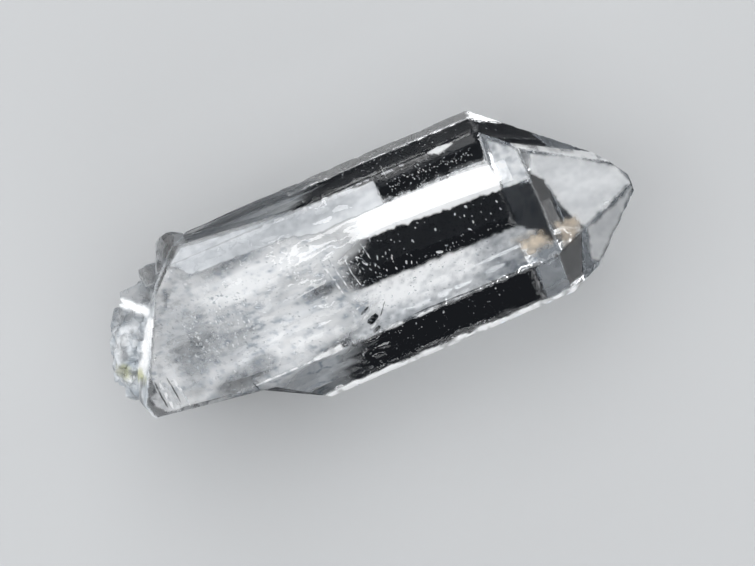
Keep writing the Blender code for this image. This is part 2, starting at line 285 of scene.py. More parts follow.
class Shader:
    """A short way to write the nodes of one material or group."""

    def __init__(self, tree: bpy.types.NodeTree) -> None:
        """Starts on an empty tree.

        Args:
            tree: The node tree of a material or of a group.
        """
        self.tree = tree
        tree.nodes.clear()

    def add(self, kind: str, **settings: object) -> bpy.types.Node:
        """Adds a node.

        Args:
            kind: The node's type, without ShaderNode.
            settings: Its properties.

        Returns:
            The node.
        """
        node = self.tree.nodes.new("ShaderNode" + kind)
        for name, value in settings.items():
            setattr(node, name, value)
        return node

    def feed(self, node: bpy.types.Node, name: str | int, value: object) -> None:
        """Sets or links an input.

        Args:
            node: The node.
            name: The input's name or number.
            value: An output to link, or a plain value.
        """
        if isinstance(value, bpy.types.NodeSocket):
            self.tree.links.new(value, node.inputs[name])
        else:
            node.inputs[name].default_value = value

    def math(self, operation: str, first: object, second: object) -> bpy.types.NodeSocket:
        """Adds a Math node.

        Args:
            operation: What it works out.
            first: Its first input.
            second: Its second input.

        Returns:
            Its output.
        """
        node = self.add("Math", operation=operation)
        self.feed(node, 0, first)
        self.feed(node, 1, second)
        return node.outputs[0]

    def ramp(
        self, value: object, start: tuple[float, float], result: tuple[float, float] = (0.0, 1.0)
    ) -> bpy.types.NodeSocket:
        """Adds a smooth ramp.

        Args:
            value: What is ramped.
            start: The values where the ramp starts and ends.
            result: The ramp's results there.

        Returns:
            Its output.
        """
        node = self.add("MapRange", interpolation_type="SMOOTHSTEP")
        self.feed(node, "Value", value)
        for name, number in zip(("From Min", "From Max", "To Min", "To Max"), (*start, *result)):
            self.feed(node, name, number)
        return node.outputs["Result"]

    def mix(self, amount: object, first: object, second: object) -> bpy.types.NodeSocket:
        """Mixes two colours.

        Args:
            amount: How much of the second colour there is.
            first: The first colour, or a colour output.
            second: The second colour, or a colour output.

        Returns:
            The mixed colour's output.
        """
        node = self.add("Mix", data_type="RGBA")
        self.feed(node, "Factor", amount)
        for number, colour in ((6, first), (7, second)):
            self.feed(node, number, (*colour, 1) if isinstance(colour, tuple) else colour)
        return node.outputs[2]

    def attribute(self, name: str) -> bpy.types.NodeSocket:
        """The number that each vertex has under a name."""
        return self.add("Attribute", attribute_name=name).outputs["Fac"]

    def place(self) -> bpy.types.NodeSocket:
        """Adds the place on the object, in millimetres.

        Returns:
            Its output: the Object coordinates, scaled by a Mapping node.
        """
        mapping = self.add("Mapping", vector_type="POINT")
        self.feed(mapping, "Vector", self.add("TexCoord").outputs["Object"])
        self.feed(mapping, "Scale", (1 / MM, 1 / MM, 1 / MM))
        return mapping.outputs["Vector"]

    def noise(self, place: bpy.types.NodeSocket, size: float, detail: float) -> bpy.types.NodeSocket:
        """Adds a noise texture.

        Args:
            place: The place output that it reads.
            size: The size of its largest spots, in the place's unit.
            detail: How many finer layers it has.

        Returns:
            Its value output.
        """
        node = self.add("TexNoise", noise_dimensions="3D", noise_type="FBM", normalize=True)
        self.feed(node, "Vector", place)
        self.feed(node, "Scale", 1 / size)
        self.feed(node, "Detail", detail)
        return node.outputs[0]

    def group(self, tree: bpy.types.NodeTree, **values: object) -> bpy.types.Node:
        """Places a node group.

        Args:
            tree: The group.
            values: Its inputs, with _ for a space.

        Returns:
            The group's node.
        """
        node = self.add("Group", node_tree=tree)
        for name, value in values.items():
            self.feed(node, name.replace("_", " "), value)
        return node


def new_group(
    name: str, inputs: dict[str, float], output: str
) -> tuple[Shader, bpy.types.Node, bpy.types.Node]:
    """Starts a node group of numbers.

    Args:
        name: The group's name.
        inputs: Its inputs and their usual values.
        output: Its output's name.

    Returns:
        The shader to write it with, its input node and its output node.
    """
    tree = bpy.data.node_groups.new(name, "ShaderNodeTree")
    for label, value in inputs.items():
        socket = tree.interface.new_socket(name=label, in_out="INPUT", socket_type="NodeSocketFloat")
        socket.default_value = value
    tree.interface.new_socket(name=output, in_out="OUTPUT", socket_type="NodeSocketFloat")
    shader = Shader(tree)
    return shader, tree.nodes.new("NodeGroupInput"), tree.nodes.new("NodeGroupOutput")


@dataclass(frozen=True)
class Patterns:
    """The node groups that more than one finish uses."""

    grain_size: float = 0.32
    grain_softness: float = 0.35
    finer: float = 0.6

    def grain(self) -> bpy.types.NodeTree:
        """Makes the sugary grain: small round cells with finer noise on them.

        Returns:
            The group. Strength scales its height.
        """
        shader, start, end = new_group("sugary grain", {"Strength": 1.0}, "Height")
        place = shader.place()
        cells = shader.add("TexVoronoi", feature="SMOOTH_F1")
        shader.feed(cells, "Vector", place)
        shader.feed(cells, "Scale", 1 / self.grain_size)
        shader.feed(cells, "Smoothness", self.grain_softness)
        fine = shader.noise(place, self.grain_size * self.finer, 3)
        height = shader.math("SUBTRACT", fine, cells.outputs["Distance"])
        shader.feed(end, 0, shader.math("MULTIPLY", height, start.outputs["Strength"]))
        return shader.tree


# Finishes


def principled(shader: Shader, colour: tuple[float, float, float], roughness: float) -> bpy.types.Node:
    """Adds a Principled BSDF and the material's output.

    Args:
        shader: The material's shader.
        colour: Its base colour.
        roughness: Its roughness.

    Returns:
        The Principled BSDF.
    """
    node = shader.add("BsdfPrincipled")
    node.inputs["Base Color"].default_value = (*colour, 1)
    node.inputs["Roughness"].default_value = roughness
    output = shader.add("OutputMaterial")
    shader.feed(output, "Surface", node.outputs[0])
    return node


def new_material(name: str) -> tuple[bpy.types.Material, Shader]:
    """Starts a material with an empty tree.

    Args:
        name: The material's name.

    Returns:
        The material and the shader to write it with.
    """
    material = bpy.data.materials.new(name)
    material.use_nodes = True
    return material, Shader(material.node_tree)


@dataclass(frozen=True)
class ClearQuartz:
    """The clear skin: glossy on the crystal faces, frosted where it is broken or worn."""

    ior: float = 1.544
    tint: tuple[float, float, float] = (0.80, 0.90, 1.0)
    density: float = 5.0
    frosted: float = 0.42
    polished: float = 0.0

    def material(self) -> bpy.types.Material:
        """Makes the material.

        Returns:
            Plain glass, whose roughness goes by each point's share of frosting, with a faint blue depth.
        """
        material, shader = new_material("clear quartz")
        surface = principled(shader, (1, 1, 1), 0)
        surface.inputs["Transmission Weight"].default_value = 1
        surface.inputs["IOR"].default_value = self.ior
        broken = shader.attribute("broken")
        shader.feed(surface, "Roughness", shader.ramp(broken, (0.0, 1.0), (self.polished, self.frosted)))
        volume = shader.add("VolumeAbsorption")
        volume.inputs["Color"].default_value = (*self.tint, 1)
        volume.inputs["Density"].default_value = self.density
        output = next(n for n in shader.tree.nodes if n.type == "OUTPUT_MATERIAL")
        shader.feed(output, "Volume", volume.outputs[0])
        return material


@dataclass(frozen=True)
class Milk:
    """White cloud on a thin sheet inside the crystal."""

    name: str
    # light and dark also colour the white band and tip hazes, which are painted reflections of light inside
    # the clear tip.
    light: tuple[float, float, float] = (0.97, 0.98, 0.99)
    dark: tuple[float, float, float] = (0.42, 0.47, 0.53)

    def material(self) -> bpy.types.Material:
        """Makes the material.

        Returns:
            A dull material. Its alpha is each point's own milk, and its colour goes by each point's
            shade.
        """
        material, shader = new_material(self.name)
        surface = principled(shader, self.light, 1)
        surface.inputs["Specular IOR Level"].default_value = 0
        shader.feed(surface, "Base Color", shader.mix(shader.attribute("shade"), self.dark, self.light))
        shader.feed(surface, "Alpha", shader.attribute("milk"))
        return material


@dataclass(frozen=True)
class Frost:
    """The white bruised surface of broken and worn places, which lies as a film on the skin."""

    colour: tuple[float, float, float] = (0.96, 0.97, 0.98)
    # grey is the wedge's own greyer tone and also painted shade in the root's hollows.
    grey: tuple[float, float, float] = (0.36, 0.40, 0.44)
    stain: tuple[float, float, float] = (0.46, 0.47, 0.20)
    roughness: float = 0.45
    bump: float = 0.14 * MM
    bump_strength: float = 0.7

    def material(self, grain: bpy.types.NodeTree) -> bpy.types.Material:
        """Makes the material, whose alpha and colour go by each point's film, shade and stain.

        Args:
            grain: The group for the sugary grain.

        Returns:
            The material.
        """
        material, shader = new_material("frosted quartz")
        surface = principled(shader, self.colour, self.roughness)
        # The shade mixes grey into white: on the root it paints shade in the hollows and highlights along
        # the steps.
        clean = shader.mix(shader.attribute("shade"), self.grey, self.colour)
        shader.feed(surface, "Base Color", shader.mix(shader.attribute("stain"), clean, self.stain))
        film = shader.attribute("film")
        shader.feed(surface, "Alpha", film)
        bump = shader.add("Bump")
        shader.feed(bump, "Strength", self.bump_strength)
        shader.feed(bump, "Distance", self.bump)
        shader.feed(bump, "Height", shader.group(grain, Strength=film).outputs[0])
        shader.feed(surface, "Normal", bump.outputs[0])
        return material


@dataclass(frozen=True)
class Flaw:
    """The finish of a crack, a gap or a speck inside."""

    name: str
    light: tuple[float, float, float]
    dark: tuple[float, float, float]
    solid: float
    faint: float
    spot: float = 0.7
    light_from: tuple[float, float] = (0.35, 0.60)
    solid_from: tuple[float, float] = (0.30, 0.62)

    def material(self) -> bpy.types.Material:
        """Makes the material.

        Returns:
            A dull material. A noise varies its colour and how solid it is.
        """
        material, shader = new_material(self.name)
        surface = principled(shader, self.light, 0.8)
        surface.inputs["Specular IOR Level"].default_value = 0
        spots = shader.noise(shader.place(), self.spot, 2)
        lightness = shader.ramp(spots, self.light_from)
        shader.feed(surface, "Base Color", shader.mix(lightness, self.dark, self.light))
        shader.feed(surface, "Alpha", shader.ramp(spots, self.solid_from, (self.faint, self.solid)))
        return material


# The crystal's form, as the pieces inside it need it


@dataclass(frozen=True)
class Face:
    """A flat face: a point on it, in millimetres along, across and over the bottom, and its normal."""

    point: tuple[float, float, float]
    normal: tuple[float, float, float]

    def height(self, x: np.ndarray, y: np.ndarray) -> np.ndarray:
        """The face's height over the bottom at places along and across, in millimetres."""
        (px, py, pz), (nx, ny, nz) = self.point, self.normal
        return pz - ((x - px) * nx + (y - py) * ny) / nz


FRONT = Face((0, 0, TOP), (0, 0, 1))
END = Face((46.7, 0, TOP), (0.6186, 0, 0.7857))
TIP_SIDE = Face((46.3, -9.163, 15.87), (0.6185, -0.6805, 0.3929))
CORNER = Face((46.3, -9.163, 15.87), (0, -0.8660, 0.5))


@dataclass(frozen=True)
class Prism:
    """The six-sided prism: how far out each face is, where its long axis runs, and where it is broken.

    The azimuths are those of its six faces, from +Y towards +Z, in degrees. The breaks end it at the
    root. The notch is the break low on the near side.
    """

    wide: float = WIDE * MM
    narrow: float = NARROW * MM
    axis_across: float = -0.175 * MM
    root_to_origin: float = 27.734 * MM
    azimuths: tuple[float, ...] = (90, 30, -30, -90, -150, 150)
    breaks: tuple[Face, ...] = (
        Face((5.30, 1.30, TOP), (-0.80, 0.41, 0.43)),
        Face((9.40, 7.50, TOP), (-0.68, 0.72, 0.10)),
        Face((2.25, -5.10, TOP), (-0.96, -0.20, 0.19)),
        Face((3.20, -2.00, 10.0), (-0.97, 0.14, -0.20)),
        Face((7.60, 0.00, 2.2), (-0.70, 0.10, -0.71)),
        Face((3.45, -6.60, 13.0), (-0.82, -0.56, -0.08)),
        Face((9.20, 9.60, 11.0), (-0.80, 0.58, -0.12)),
    )
    notch: tuple[Face, Face] = (
        Face((9.20, -7.35, TOP), (-0.155, -0.98, -0.083)),
        Face((13.7, -7.39, TOP), (-0.507, -0.862, 0.012)),
    )
    edge_on: float = 0.1
    break_edge_on: float = 0.02

    def out(self, angle: np.ndarray, depth: float) -> np.ndarray:
        """How far the prism's side is from the axis.

        Args:
            angle: Azimuths about the axis, from +Y towards +Z, in radians.
            depth: How far under the faces the side is taken.

        Returns:
            The least, over the six faces, of the face's distance divided by the cosine of the angle
            between the azimuth and the face's own.
        """
        nearest = np.full(angle.shape, np.inf)
        for number, azimuth in enumerate(self.azimuths):
            distance = (self.narrow if number % 2 else self.wide) - depth
            cosine = np.cos(angle - math.radians(azimuth))
            reach = np.where(cosine > self.edge_on, distance / np.maximum(cosine, self.edge_on), np.inf)
            nearest = np.minimum(nearest, reach)
        return nearest

    def out_to(self, plane: Face, along: np.ndarray, angle: np.ndarray, depth: float) -> np.ndarray:
        """How far a break's plane is from the axis.

        Args:
            plane: The break.
            along: Distances from the root.
            angle: Azimuths about the axis.
            depth: How far under the plane the side is taken.

        Returns:
            The height of the plane over the axis there, divided by how much the azimuth's way goes with
            the plane's normal, or endless where it goes away from it.
        """
        normal = np.array(plane.normal) / np.linalg.norm(plane.normal)
        height = normal @ (np.array(plane.point) * MM - (0, 0, self.narrow)) - along * normal[0] - depth
        cosine = np.cos(angle) * normal[1] + np.sin(angle) * normal[2]
        towards = np.maximum(height, 0) / np.maximum(cosine, self.break_edge_on)
        return np.where(cosine > self.break_edge_on, towards, np.where(height > 0, np.inf, 0))

    def inside(self, along: np.ndarray, angle: np.ndarray, depth: float) -> np.ndarray:
        """How far a sheet may reach from the axis: the least of the faces, the breaks and the notch.

        Args:
            along: Distances from the root.
            angle: Azimuths about the axis.
            depth: How far under the surface it stays.

        Returns:
            The distances out. Of the notch's two planes the farther one counts, because what is left is
            inside one or the other.
        """
        reach = self.out(angle, depth)
        for plane in self.breaks:
            reach = np.minimum(reach, self.out_to(plane, along, angle, depth))
        side = [self.out_to(plane, along, angle, depth) for plane in self.notch]
        return np.minimum(reach, np.maximum(*side))

    def point(self, along: np.ndarray, angle: np.ndarray, out: np.ndarray) -> np.ndarray:
        """Places in the frame.

        Args:
            along: Distances from the root.
            angle: Azimuths about the axis.
            out: Distances from the axis.

        Returns:
            One place for each, along a last axis of three.
        """
        x = along - self.root_to_origin
        y = self.axis_across + out * np.cos(angle)
        z = self.narrow + out * np.sin(angle)
        return np.stack(np.broadcast_arrays(x, y, z), axis=-1)


# The skin


@dataclass(frozen=True)
class Net:
    """A net of triangles in millimetres, with three notes on each of its points.

    The notes are the normal of the point's facet, the distance from the facet's nearest edge, and the
    share of frosting: 0 on a whole face and 1 on a broken one.
    """

    points: np.ndarray
    triangles: np.ndarray
    normal: np.ndarray
    far: np.ndarray
    broken: np.ndarray


@dataclass
class Skin:
    """The crystal's outside, as a fine net with relief on its faces. Its sizes are in millimetres.

    The solid's facets are cut by a net of even triangles. Each facet's inner points move along its own
    normal by a relief that fades out at its edges, so that the edges stay where the solid has them. The
    steps with painted highlights and the stains are places along and across, as the photograph shows
    them on the root.
    A pair of numbers is where a ramp starts and ends. Those that end in _x are in the frame's own x.
    """

    prism: Prism
    spacing: float = 0.27
    apart: float = 0.45
    weld: float = 0.0005
    flat_angle: float = math.radians(0.3)
    sharp_angle: float = math.radians(24)
    film_lift: float = 0.018
    fade: tuple[float, float] = (0.05, 0.7)
    root_x: tuple[float, float] = (-15.5, -17.5)
    rough_x: tuple[float, float] = (2.5, -12)
    grain_x: tuple[float, float] = (16, -14)
    before_tip_x: tuple[float, float] = (27, 24)
    upper: tuple[float, float] = (7.5, 11.0)
    worn_angle: float = math.radians(15)
    worn_length: float = 4.0
    outline_from: float = 9.0
    wear: float = 0.16
    outline_frost: float = 0.85
    edge_frost: float = 0.12
    worn_width: tuple[float, float] = (0.85, 0.45)
    far_side: float = 0.55
    chip_width: tuple[float, float] = (0.5, 1.3)
    faces_root: tuple[float, float] = (0.25, 0.5)
    wave_height: float = 0.003
    streak_height: float = 0.028
    pit_depth: float = 0.11
    grain_height: float = 0.16
    # Painted highlights: the root's film is made white along these steps, where they catch the light.
    painted_step_highlights: tuple[tuple[tuple[float, float], ...], ...] = (
        ((5.91, 2.87), (4.36, 0.52), (2.95, -1.6)),
        ((3.53, 5.9), (5.76, 4.0)),
    )
    step_highlight_width: tuple[float, float] = (0.75, 0.30)
    stains: tuple[tuple[float, float], ...] = ((0.62, -0.45), (1.1, -1.2), (2.7, -2.0))
    stain_width: tuple[float, float] = (0.95, 0.20)
    far_plates: tuple[float, float] = (2.8, 5.0)
    wedge_across: tuple[float, float] = (6.9, 7.3)
    wedge_start: tuple[float, float] = (9.2, 10.2)
    wedge_end: tuple[float, float] = (25, 23)
    slant: tuple[float, float] = (0.035, -0.115)
    least_film: float = 0.02
    outline_edges: list[np.ndarray] = field(default_factory=list)
    net: Net | None = None

    def facets(self) -> bmesh.types.BMesh:
        """Makes the solid's facets whole again, in millimetres.

        Returns:
            A copy of the solid's mesh with its doubles merged and its flat neighbours joined.
        """
        shape = bmesh.new()
        shape.from_mesh(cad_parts[NODE].data)
        bmesh.ops.scale(shape, vec=(1 / MM, 1 / MM, 1 / MM), verts=shape.verts)
        bmesh.ops.remove_doubles(shape, verts=shape.verts, dist=self.weld)
        bmesh.ops.dissolve_limit(
            shape,
            angle_limit=self.flat_angle,
            verts=shape.verts,
            edges=shape.edges,
            use_dissolve_boundaries=False,
        )
        shape.normal_update()
        for group in (shape.verts, shape.edges, shape.faces):
            group.index_update()
            group.ensure_lookup_table()
        return shape

    def cut_edges(self, shape: bmesh.types.BMesh) -> tuple[np.ndarray, dict[int, list[int]]]:
        """Cuts the facets' edges into even steps.

        Args:
            shape: The facets.

        Returns:
            The points on the edges, the corners first, and the numbers of the points between each
            edge's ends.
        """
        points = [np.array([v.co for v in shape.verts])]
        total = len(shape.verts)
        along_edge = {}
        for edge in shape.edges:
            pieces = max(1, round(edge.calc_length() / self.spacing))
            a, b = (np.array(v.co) for v in edge.verts)
            points.append(a + (b - a) * np.arange(1, pieces)[:, None] / pieces)
            along_edge[edge.index] = list(range(total, total + pieces - 1))
            total += pieces - 1
        return np.concatenate(points), along_edge

    def cut(self) -> Net:
        """Cuts the facets into small triangles.

        Returns:
            The net, with the points on the facets' edges first and the inner ones after them.
        """
        shape = self.facets()
        edge_points, along_edge = self.cut_edges(shape)
        edge_points, worn = self.wear_edges(shape, edge_points, along_edge)
        total = len(edge_points)
        points, triangles = [edge_points], []
        normals, fars, shares = [np.zeros((total, 3))], [np.zeros(total)], [worn]
        for facet in shape.faces:
            ring = self.ring(facet, along_edge)
            inside, far, faces = self.fill(facet, edge_points[ring])
            numbers = np.concatenate([ring, np.arange(total, total + len(inside))])
            total += len(inside)
            broken = self.how_broken(facet)
            worn[ring] = np.maximum(worn[ring], broken)
            points.append(inside)
            triangles.append(numbers[faces])
            normals.append(np.repeat(np.array(facet.normal)[None], len(inside), axis=0))
            fars.append(far)
            shares.append(np.full(len(inside), broken))
        shape.free()
        places = np.concatenate(points)
        share = np.maximum(np.concatenate(shares), self.worn_bands(places))
        return Net(places, np.concatenate(triangles), np.concatenate(normals), np.concatenate(fars), share)

    def worn_bands(self, places: np.ndarray) -> np.ndarray:
        """How frosted each place is by its nearness to the outline's worn long edges.

        Args:
            places: The net's points, in millimetres.

        Returns:
            Nearly 1 at such an edge, fading out over a ragged width, which is nearly twice as wide on
            the far side.
        """
        near = np.full(len(places), np.inf)
        for edge in self.outline_edges:
            seen = self.far_side if edge[0, 1] > 0 else 1.0
            near = np.minimum(near, seen * far_from_line(places, edge))
        ragged = layered_noise(places, (1.5, 0.5, 0.5), 3, 73)
        return 0.97 * smooth(*self.worn_width, near + 0.45 * ragged)

    def how_broken(self, facet: bmesh.types.BMFace) -> float:
        """How broken a facet is: 0 on a whole crystal face, 1 on the root's breaks, grains and knobs.

        Args:
            facet: The facet, in millimetres.

        Returns:
            The share of frosting. A facet counts as a chip if it is narrow, which is twice its area
            divided by its way round, and as a break if it is in the root and faces away from the tip.
        """
        around = sum(edge.calc_length() for edge in facet.edges)
        chip = 1 - smooth(*self.chip_width, 2 * facet.calc_area() / around)
        x = facet.calc_center_median().x
        in_root = smooth(*self.root_x, x)
        broken = smooth(*self.faces_root, -facet.normal.x) * in_root
        return float(np.maximum(chip * (0.55 + 0.45 * in_root), broken) * smooth(*self.before_tip_x, x))

    def wear_edges(
        self, shape: bmesh.types.BMesh, points: np.ndarray, along_edge: dict[int, list[int]]
    ) -> tuple[np.ndarray, np.ndarray]:
        """Wears the sharp edges into small teeth.

        Args:
            shape: The facets.
            points: The points on their edges.
            along_edge: The numbers of the points between each edge's ends.

        Returns:
            The points, moved in by a fine noise along the mean of the two facets' normals, and how
            frosted each one is: most on the two edges that make the outline's long sides.
        """
        inward = np.zeros_like(points)
        worn = np.zeros(len(points))
        for edge in shape.edges:
            numbers = along_edge[edge.index]
            if len(edge.link_faces) != 2 or not numbers:
                continue
            if edge.calc_face_angle(0) < self.worn_angle or edge.calc_length() < self.worn_length:
                continue
            one, other = (face.normal for face in edge.link_faces)
            inward[numbers] = -np.array((one + other).normalized())
            a, b = (v.co for v in edge.verts)
            lengthways = abs(a.x - b.x) > 3 * abs(a.y - b.y)
            outline = abs((a.y + b.y) / 2) > self.outline_from and lengthways
            worn[numbers] = self.outline_frost if outline else self.edge_frost
            if outline:
                self.outline_edges.append(np.array([a, b]))
        teeth = layered_noise(points, (0.55, 9, 9), 2, 71)
        depth = np.clip(teeth + 0.15, 0, 1) * self.wear
        share = worn * smooth(-0.75, 0.15, layered_noise(points, (1.6, 9, 9), 3, 72))
        return points + inward * depth[:, None], share

    def ring(self, facet: bmesh.types.BMFace, along_edge: dict[int, list[int]]) -> np.ndarray:
        """Goes round a facet.

        Args:
            facet: The facet.
            along_edge: The numbers of the points between each edge's ends.

        Returns:
            The numbers of the points round it, in order.
        """
        numbers = []
        for loop in facet.loops:
            numbers.append(loop.vert.index)
            between = along_edge[loop.edge.index]
            numbers.extend(between if loop.edge.verts[0] is loop.vert else reversed(between))
        return np.array(numbers)

    def fill(
        self, facet: bmesh.types.BMFace, ring: np.ndarray
    ) -> tuple[np.ndarray, np.ndarray, np.ndarray]:
        """Fills a facet with even triangles.

        Args:
            facet: The facet.
            ring: The points round it.

        Returns:
            The points inside it, their distances from its edges, and the triangles. A triangle counts the
            ring's points first and the inner ones after them.
        """
        normal = np.array(facet.normal)
        start, end = (np.array(v.co) for v in facet.loops[0].edge.verts)
        first = end - start
        first = first - normal * (first @ normal)
        first /= np.linalg.norm(first) or 1
        second = np.cross(normal, first)
        base = ring[0]
        flat = np.stack([(ring - base) @ first, (ring - base) @ second], axis=1)
        inner, far = self.lattice(flat)
        if len(ring) == 3 and not len(inner):
            return np.zeros((0, 3)), np.zeros(0), np.array([[0, 1, 2]])
        every = np.concatenate([flat, inner])
        count = len(flat)
        edges = [(i, (i + 1) % count) for i in range(count)]
        out = delaunay_2d_cdt([Vector(p) for p in every], edges, [], 1, 1e-7)
        source = np.array([o[0] if o else -1 for o in out[3]])
        faces = source[np.array(out[2])]
        faces = faces[(faces >= 0).all(axis=1)]
        inside = base + inner[:, :1] * first + inner[:, 1:] * second
        return inside, far, faces

    def lattice(self, outline: np.ndarray) -> tuple[np.ndarray, np.ndarray]:
        """Places points evenly inside a flat outline.

        Args:
            outline: The outline's points, in order.

        Returns:
            The points of a hexagonal lattice that lie inside and not too near the outline, and their
            distances from it.
        """
        low, high = outline.min(axis=0), outline.max(axis=0)
        if (high - low).min() < self.spacing:
            return np.zeros((0, 2)), np.zeros(0)
        rows = np.arange(low[1], high[1], self.spacing * 0.866)    # the height of an even triangle
        columns = np.arange(low[0], high[0], self.spacing)
        x, y = np.meshgrid(columns, rows)
        x = x + (np.arange(len(rows)) % 2)[:, None] * self.spacing / 2
        places = np.stack([x.ravel(), y.ravel()], axis=1)
        far = depth_within(outline, places)
        good = far > self.spacing * self.apart
        return places[good], far[good]

    def relief(self, points: np.ndarray, broken: np.ndarray) -> np.ndarray:
        """How far the faces rise and dip.

        Args:
            points: The places, in millimetres.
            broken: How broken their facets are.

        Returns:
            Heights in millimetres: long low waves everywhere, pits and streaks on the root half, and
            grain on the broken facets.
        """
        rough = smooth(*self.rough_x, points[:, 0] + 4 * lattice_noise(points / 6, 5)) * (1 - broken)
        waves = layered_noise(points, (9, 4, 4), 2, 21) * self.wave_height
        streaks = layered_noise(points, (7, 1.0, 1.0), 3, 31) * self.streak_height
        pits = np.minimum(layered_noise(points, (1.5, 0.9, 0.9), 3, 41) + 0.20, 0) * self.pit_depth
        grain = layered_noise(points, (0.9, 0.9, 0.9), 3, 51) * self.grain_height
        return waves + rough * (streaks + pits) + broken * grain * smooth(*self.grain_x, points[:, 0])

    def build(self) -> bpy.types.Object:
        """Builds the skin and keeps its net for the film.

        Returns:
            The skin, with the attribute broken, the share of frosting.
        """
        net = self.cut()
        height = self.relief(net.points, net.broken) * smooth(*self.fade, net.far)
        self.net = replace(net, points=net.points + net.normal * height[:, None])
        piece = mesh_object("crystal_skin", self.net.points * MM, net.triangles)
        piece.data.set_sharp_from_angle(angle=self.sharp_angle)
        give_attribute(piece, "broken", net.broken)
        return piece

    def film(self) -> bpy.types.Object:
        """Builds the film of frost over the broken places.

        Returns:
            The film: the skin's own triangles where there is frost, lifted a little.
        """
        points, share = self.net.points, self.net.broken
        kept = self.net.triangles[share[self.net.triangles].max(axis=1) > self.least_film]
        used, numbers = np.unique(kept, return_inverse=True)
        a, b, c = (points[kept[:, k]] for k in range(3))
        turned = np.cross(b - a, c - a)
        normal = np.zeros_like(points)
        for k in range(3):
            np.add.at(normal, kept[:, k], turned)
        normal = normal[used] / np.maximum(np.linalg.norm(normal[used], axis=1, keepdims=True), 1e-12)
        lifted = points[used] + normal * self.film_lift
        piece = mesh_object("frost_film", lifted * MM, numbers.reshape(-1, 3))
        piece.data.set_sharp_from_angle(angle=self.sharp_angle)
        for name, values in self.frosting(points[used], share[used]).items():
            give_attribute(piece, name, values)
        return piece

    def frosting(self, points: np.ndarray, share: np.ndarray) -> dict[str, np.ndarray]:
        """Works out the film's looks.

        Args:
            points: Its points, in millimetres.
            share: How broken each one is.

        Returns:
            The film, its alpha, the shade, how white it is, and the stain, each from 0 to 1. The root
            has painted shade, greyer in noisy lumps that stand for its hollows, and painted highlights,
            white along its steps where they catch the light. It is clearer on its far plates. The wedge of
            later quartz on the upper edge is clearer too. A place counts as where the camera sees it on the
            front face's own level, which the slant carries it to.
        """
        depth = TOP - points[:, 2]
        middle = np.array([self.prism.root_to_origin, -self.prism.axis_across]) / MM
        seen = points[:, :2] + middle + depth[:, None] * self.slant
        along, across = seen.T
        at_root = smooth(*self.root_x, points[:, 0])
        upper = smooth(*self.upper, points[:, 2])
        patchy = smooth(-0.55, 0.25, layered_noise(points, (0.9, 0.9, 0.9), 3, 150))
        lumps = layered_noise(points, (1.1, 1.1, 1.1), 3, 151)
        # Painted highlight: near the steps the film turns white, where they catch the light.
        near = np.min([far_from_line(seen, np.array(line)) for line in self.painted_step_highlights], axis=0)
        step = smooth(*self.step_highlight_width, near + 0.25 * lumps) * upper
        # Painted shade: elsewhere the root's film is grey in noisy lumps that stand for the shade in its
        # hollows.
        painted_root_light = np.maximum(0.30 + 0.55 * lumps, step)
        spot = np.min([np.linalg.norm(seen - at, axis=1) for at in self.stains], axis=0)
        stain = 0.75 * smooth(*self.stain_width, spot + 0.5 * lumps) * at_root * upper
        clearer = 1 - 0.62 * smooth(*self.far_plates, across) * at_root * (1 - step)
        wedge = smooth(*self.wedge_start, along) * smooth(*self.wedge_end, along)
        wedge = wedge * smooth(*self.wedge_across, across) * upper
        film = share * (0.4 + 0.6 * np.maximum(patchy, step * at_root)) * clearer * (1 - 0.72 * wedge)
        # The shade carries the root's painted shade and highlights, and the wedge's own greyer tone.
        shade = (1 - at_root * (1 - painted_root_light)) * (1 - 0.4 * wedge)
        return {"film": np.clip(film, 0, 1), "shade": np.clip(shade, 0, 1), "stain": stain}


# The milk inside


@dataclass(frozen=True)
class Patch:
    """A place on the front where there is more or less milk: its middle and half sizes, in millimetres."""

    along: float
    across: float
    long: float
    wide: float
    change: float

    def on(self, along: np.ndarray, across: np.ndarray) -> np.ndarray:
        """The change it makes: a smooth hump over an oval."""
        far = np.hypot((along - self.along) / self.long, (across - self.across) / self.wide)
        return self.change * smooth(1.25, 0.35, far)


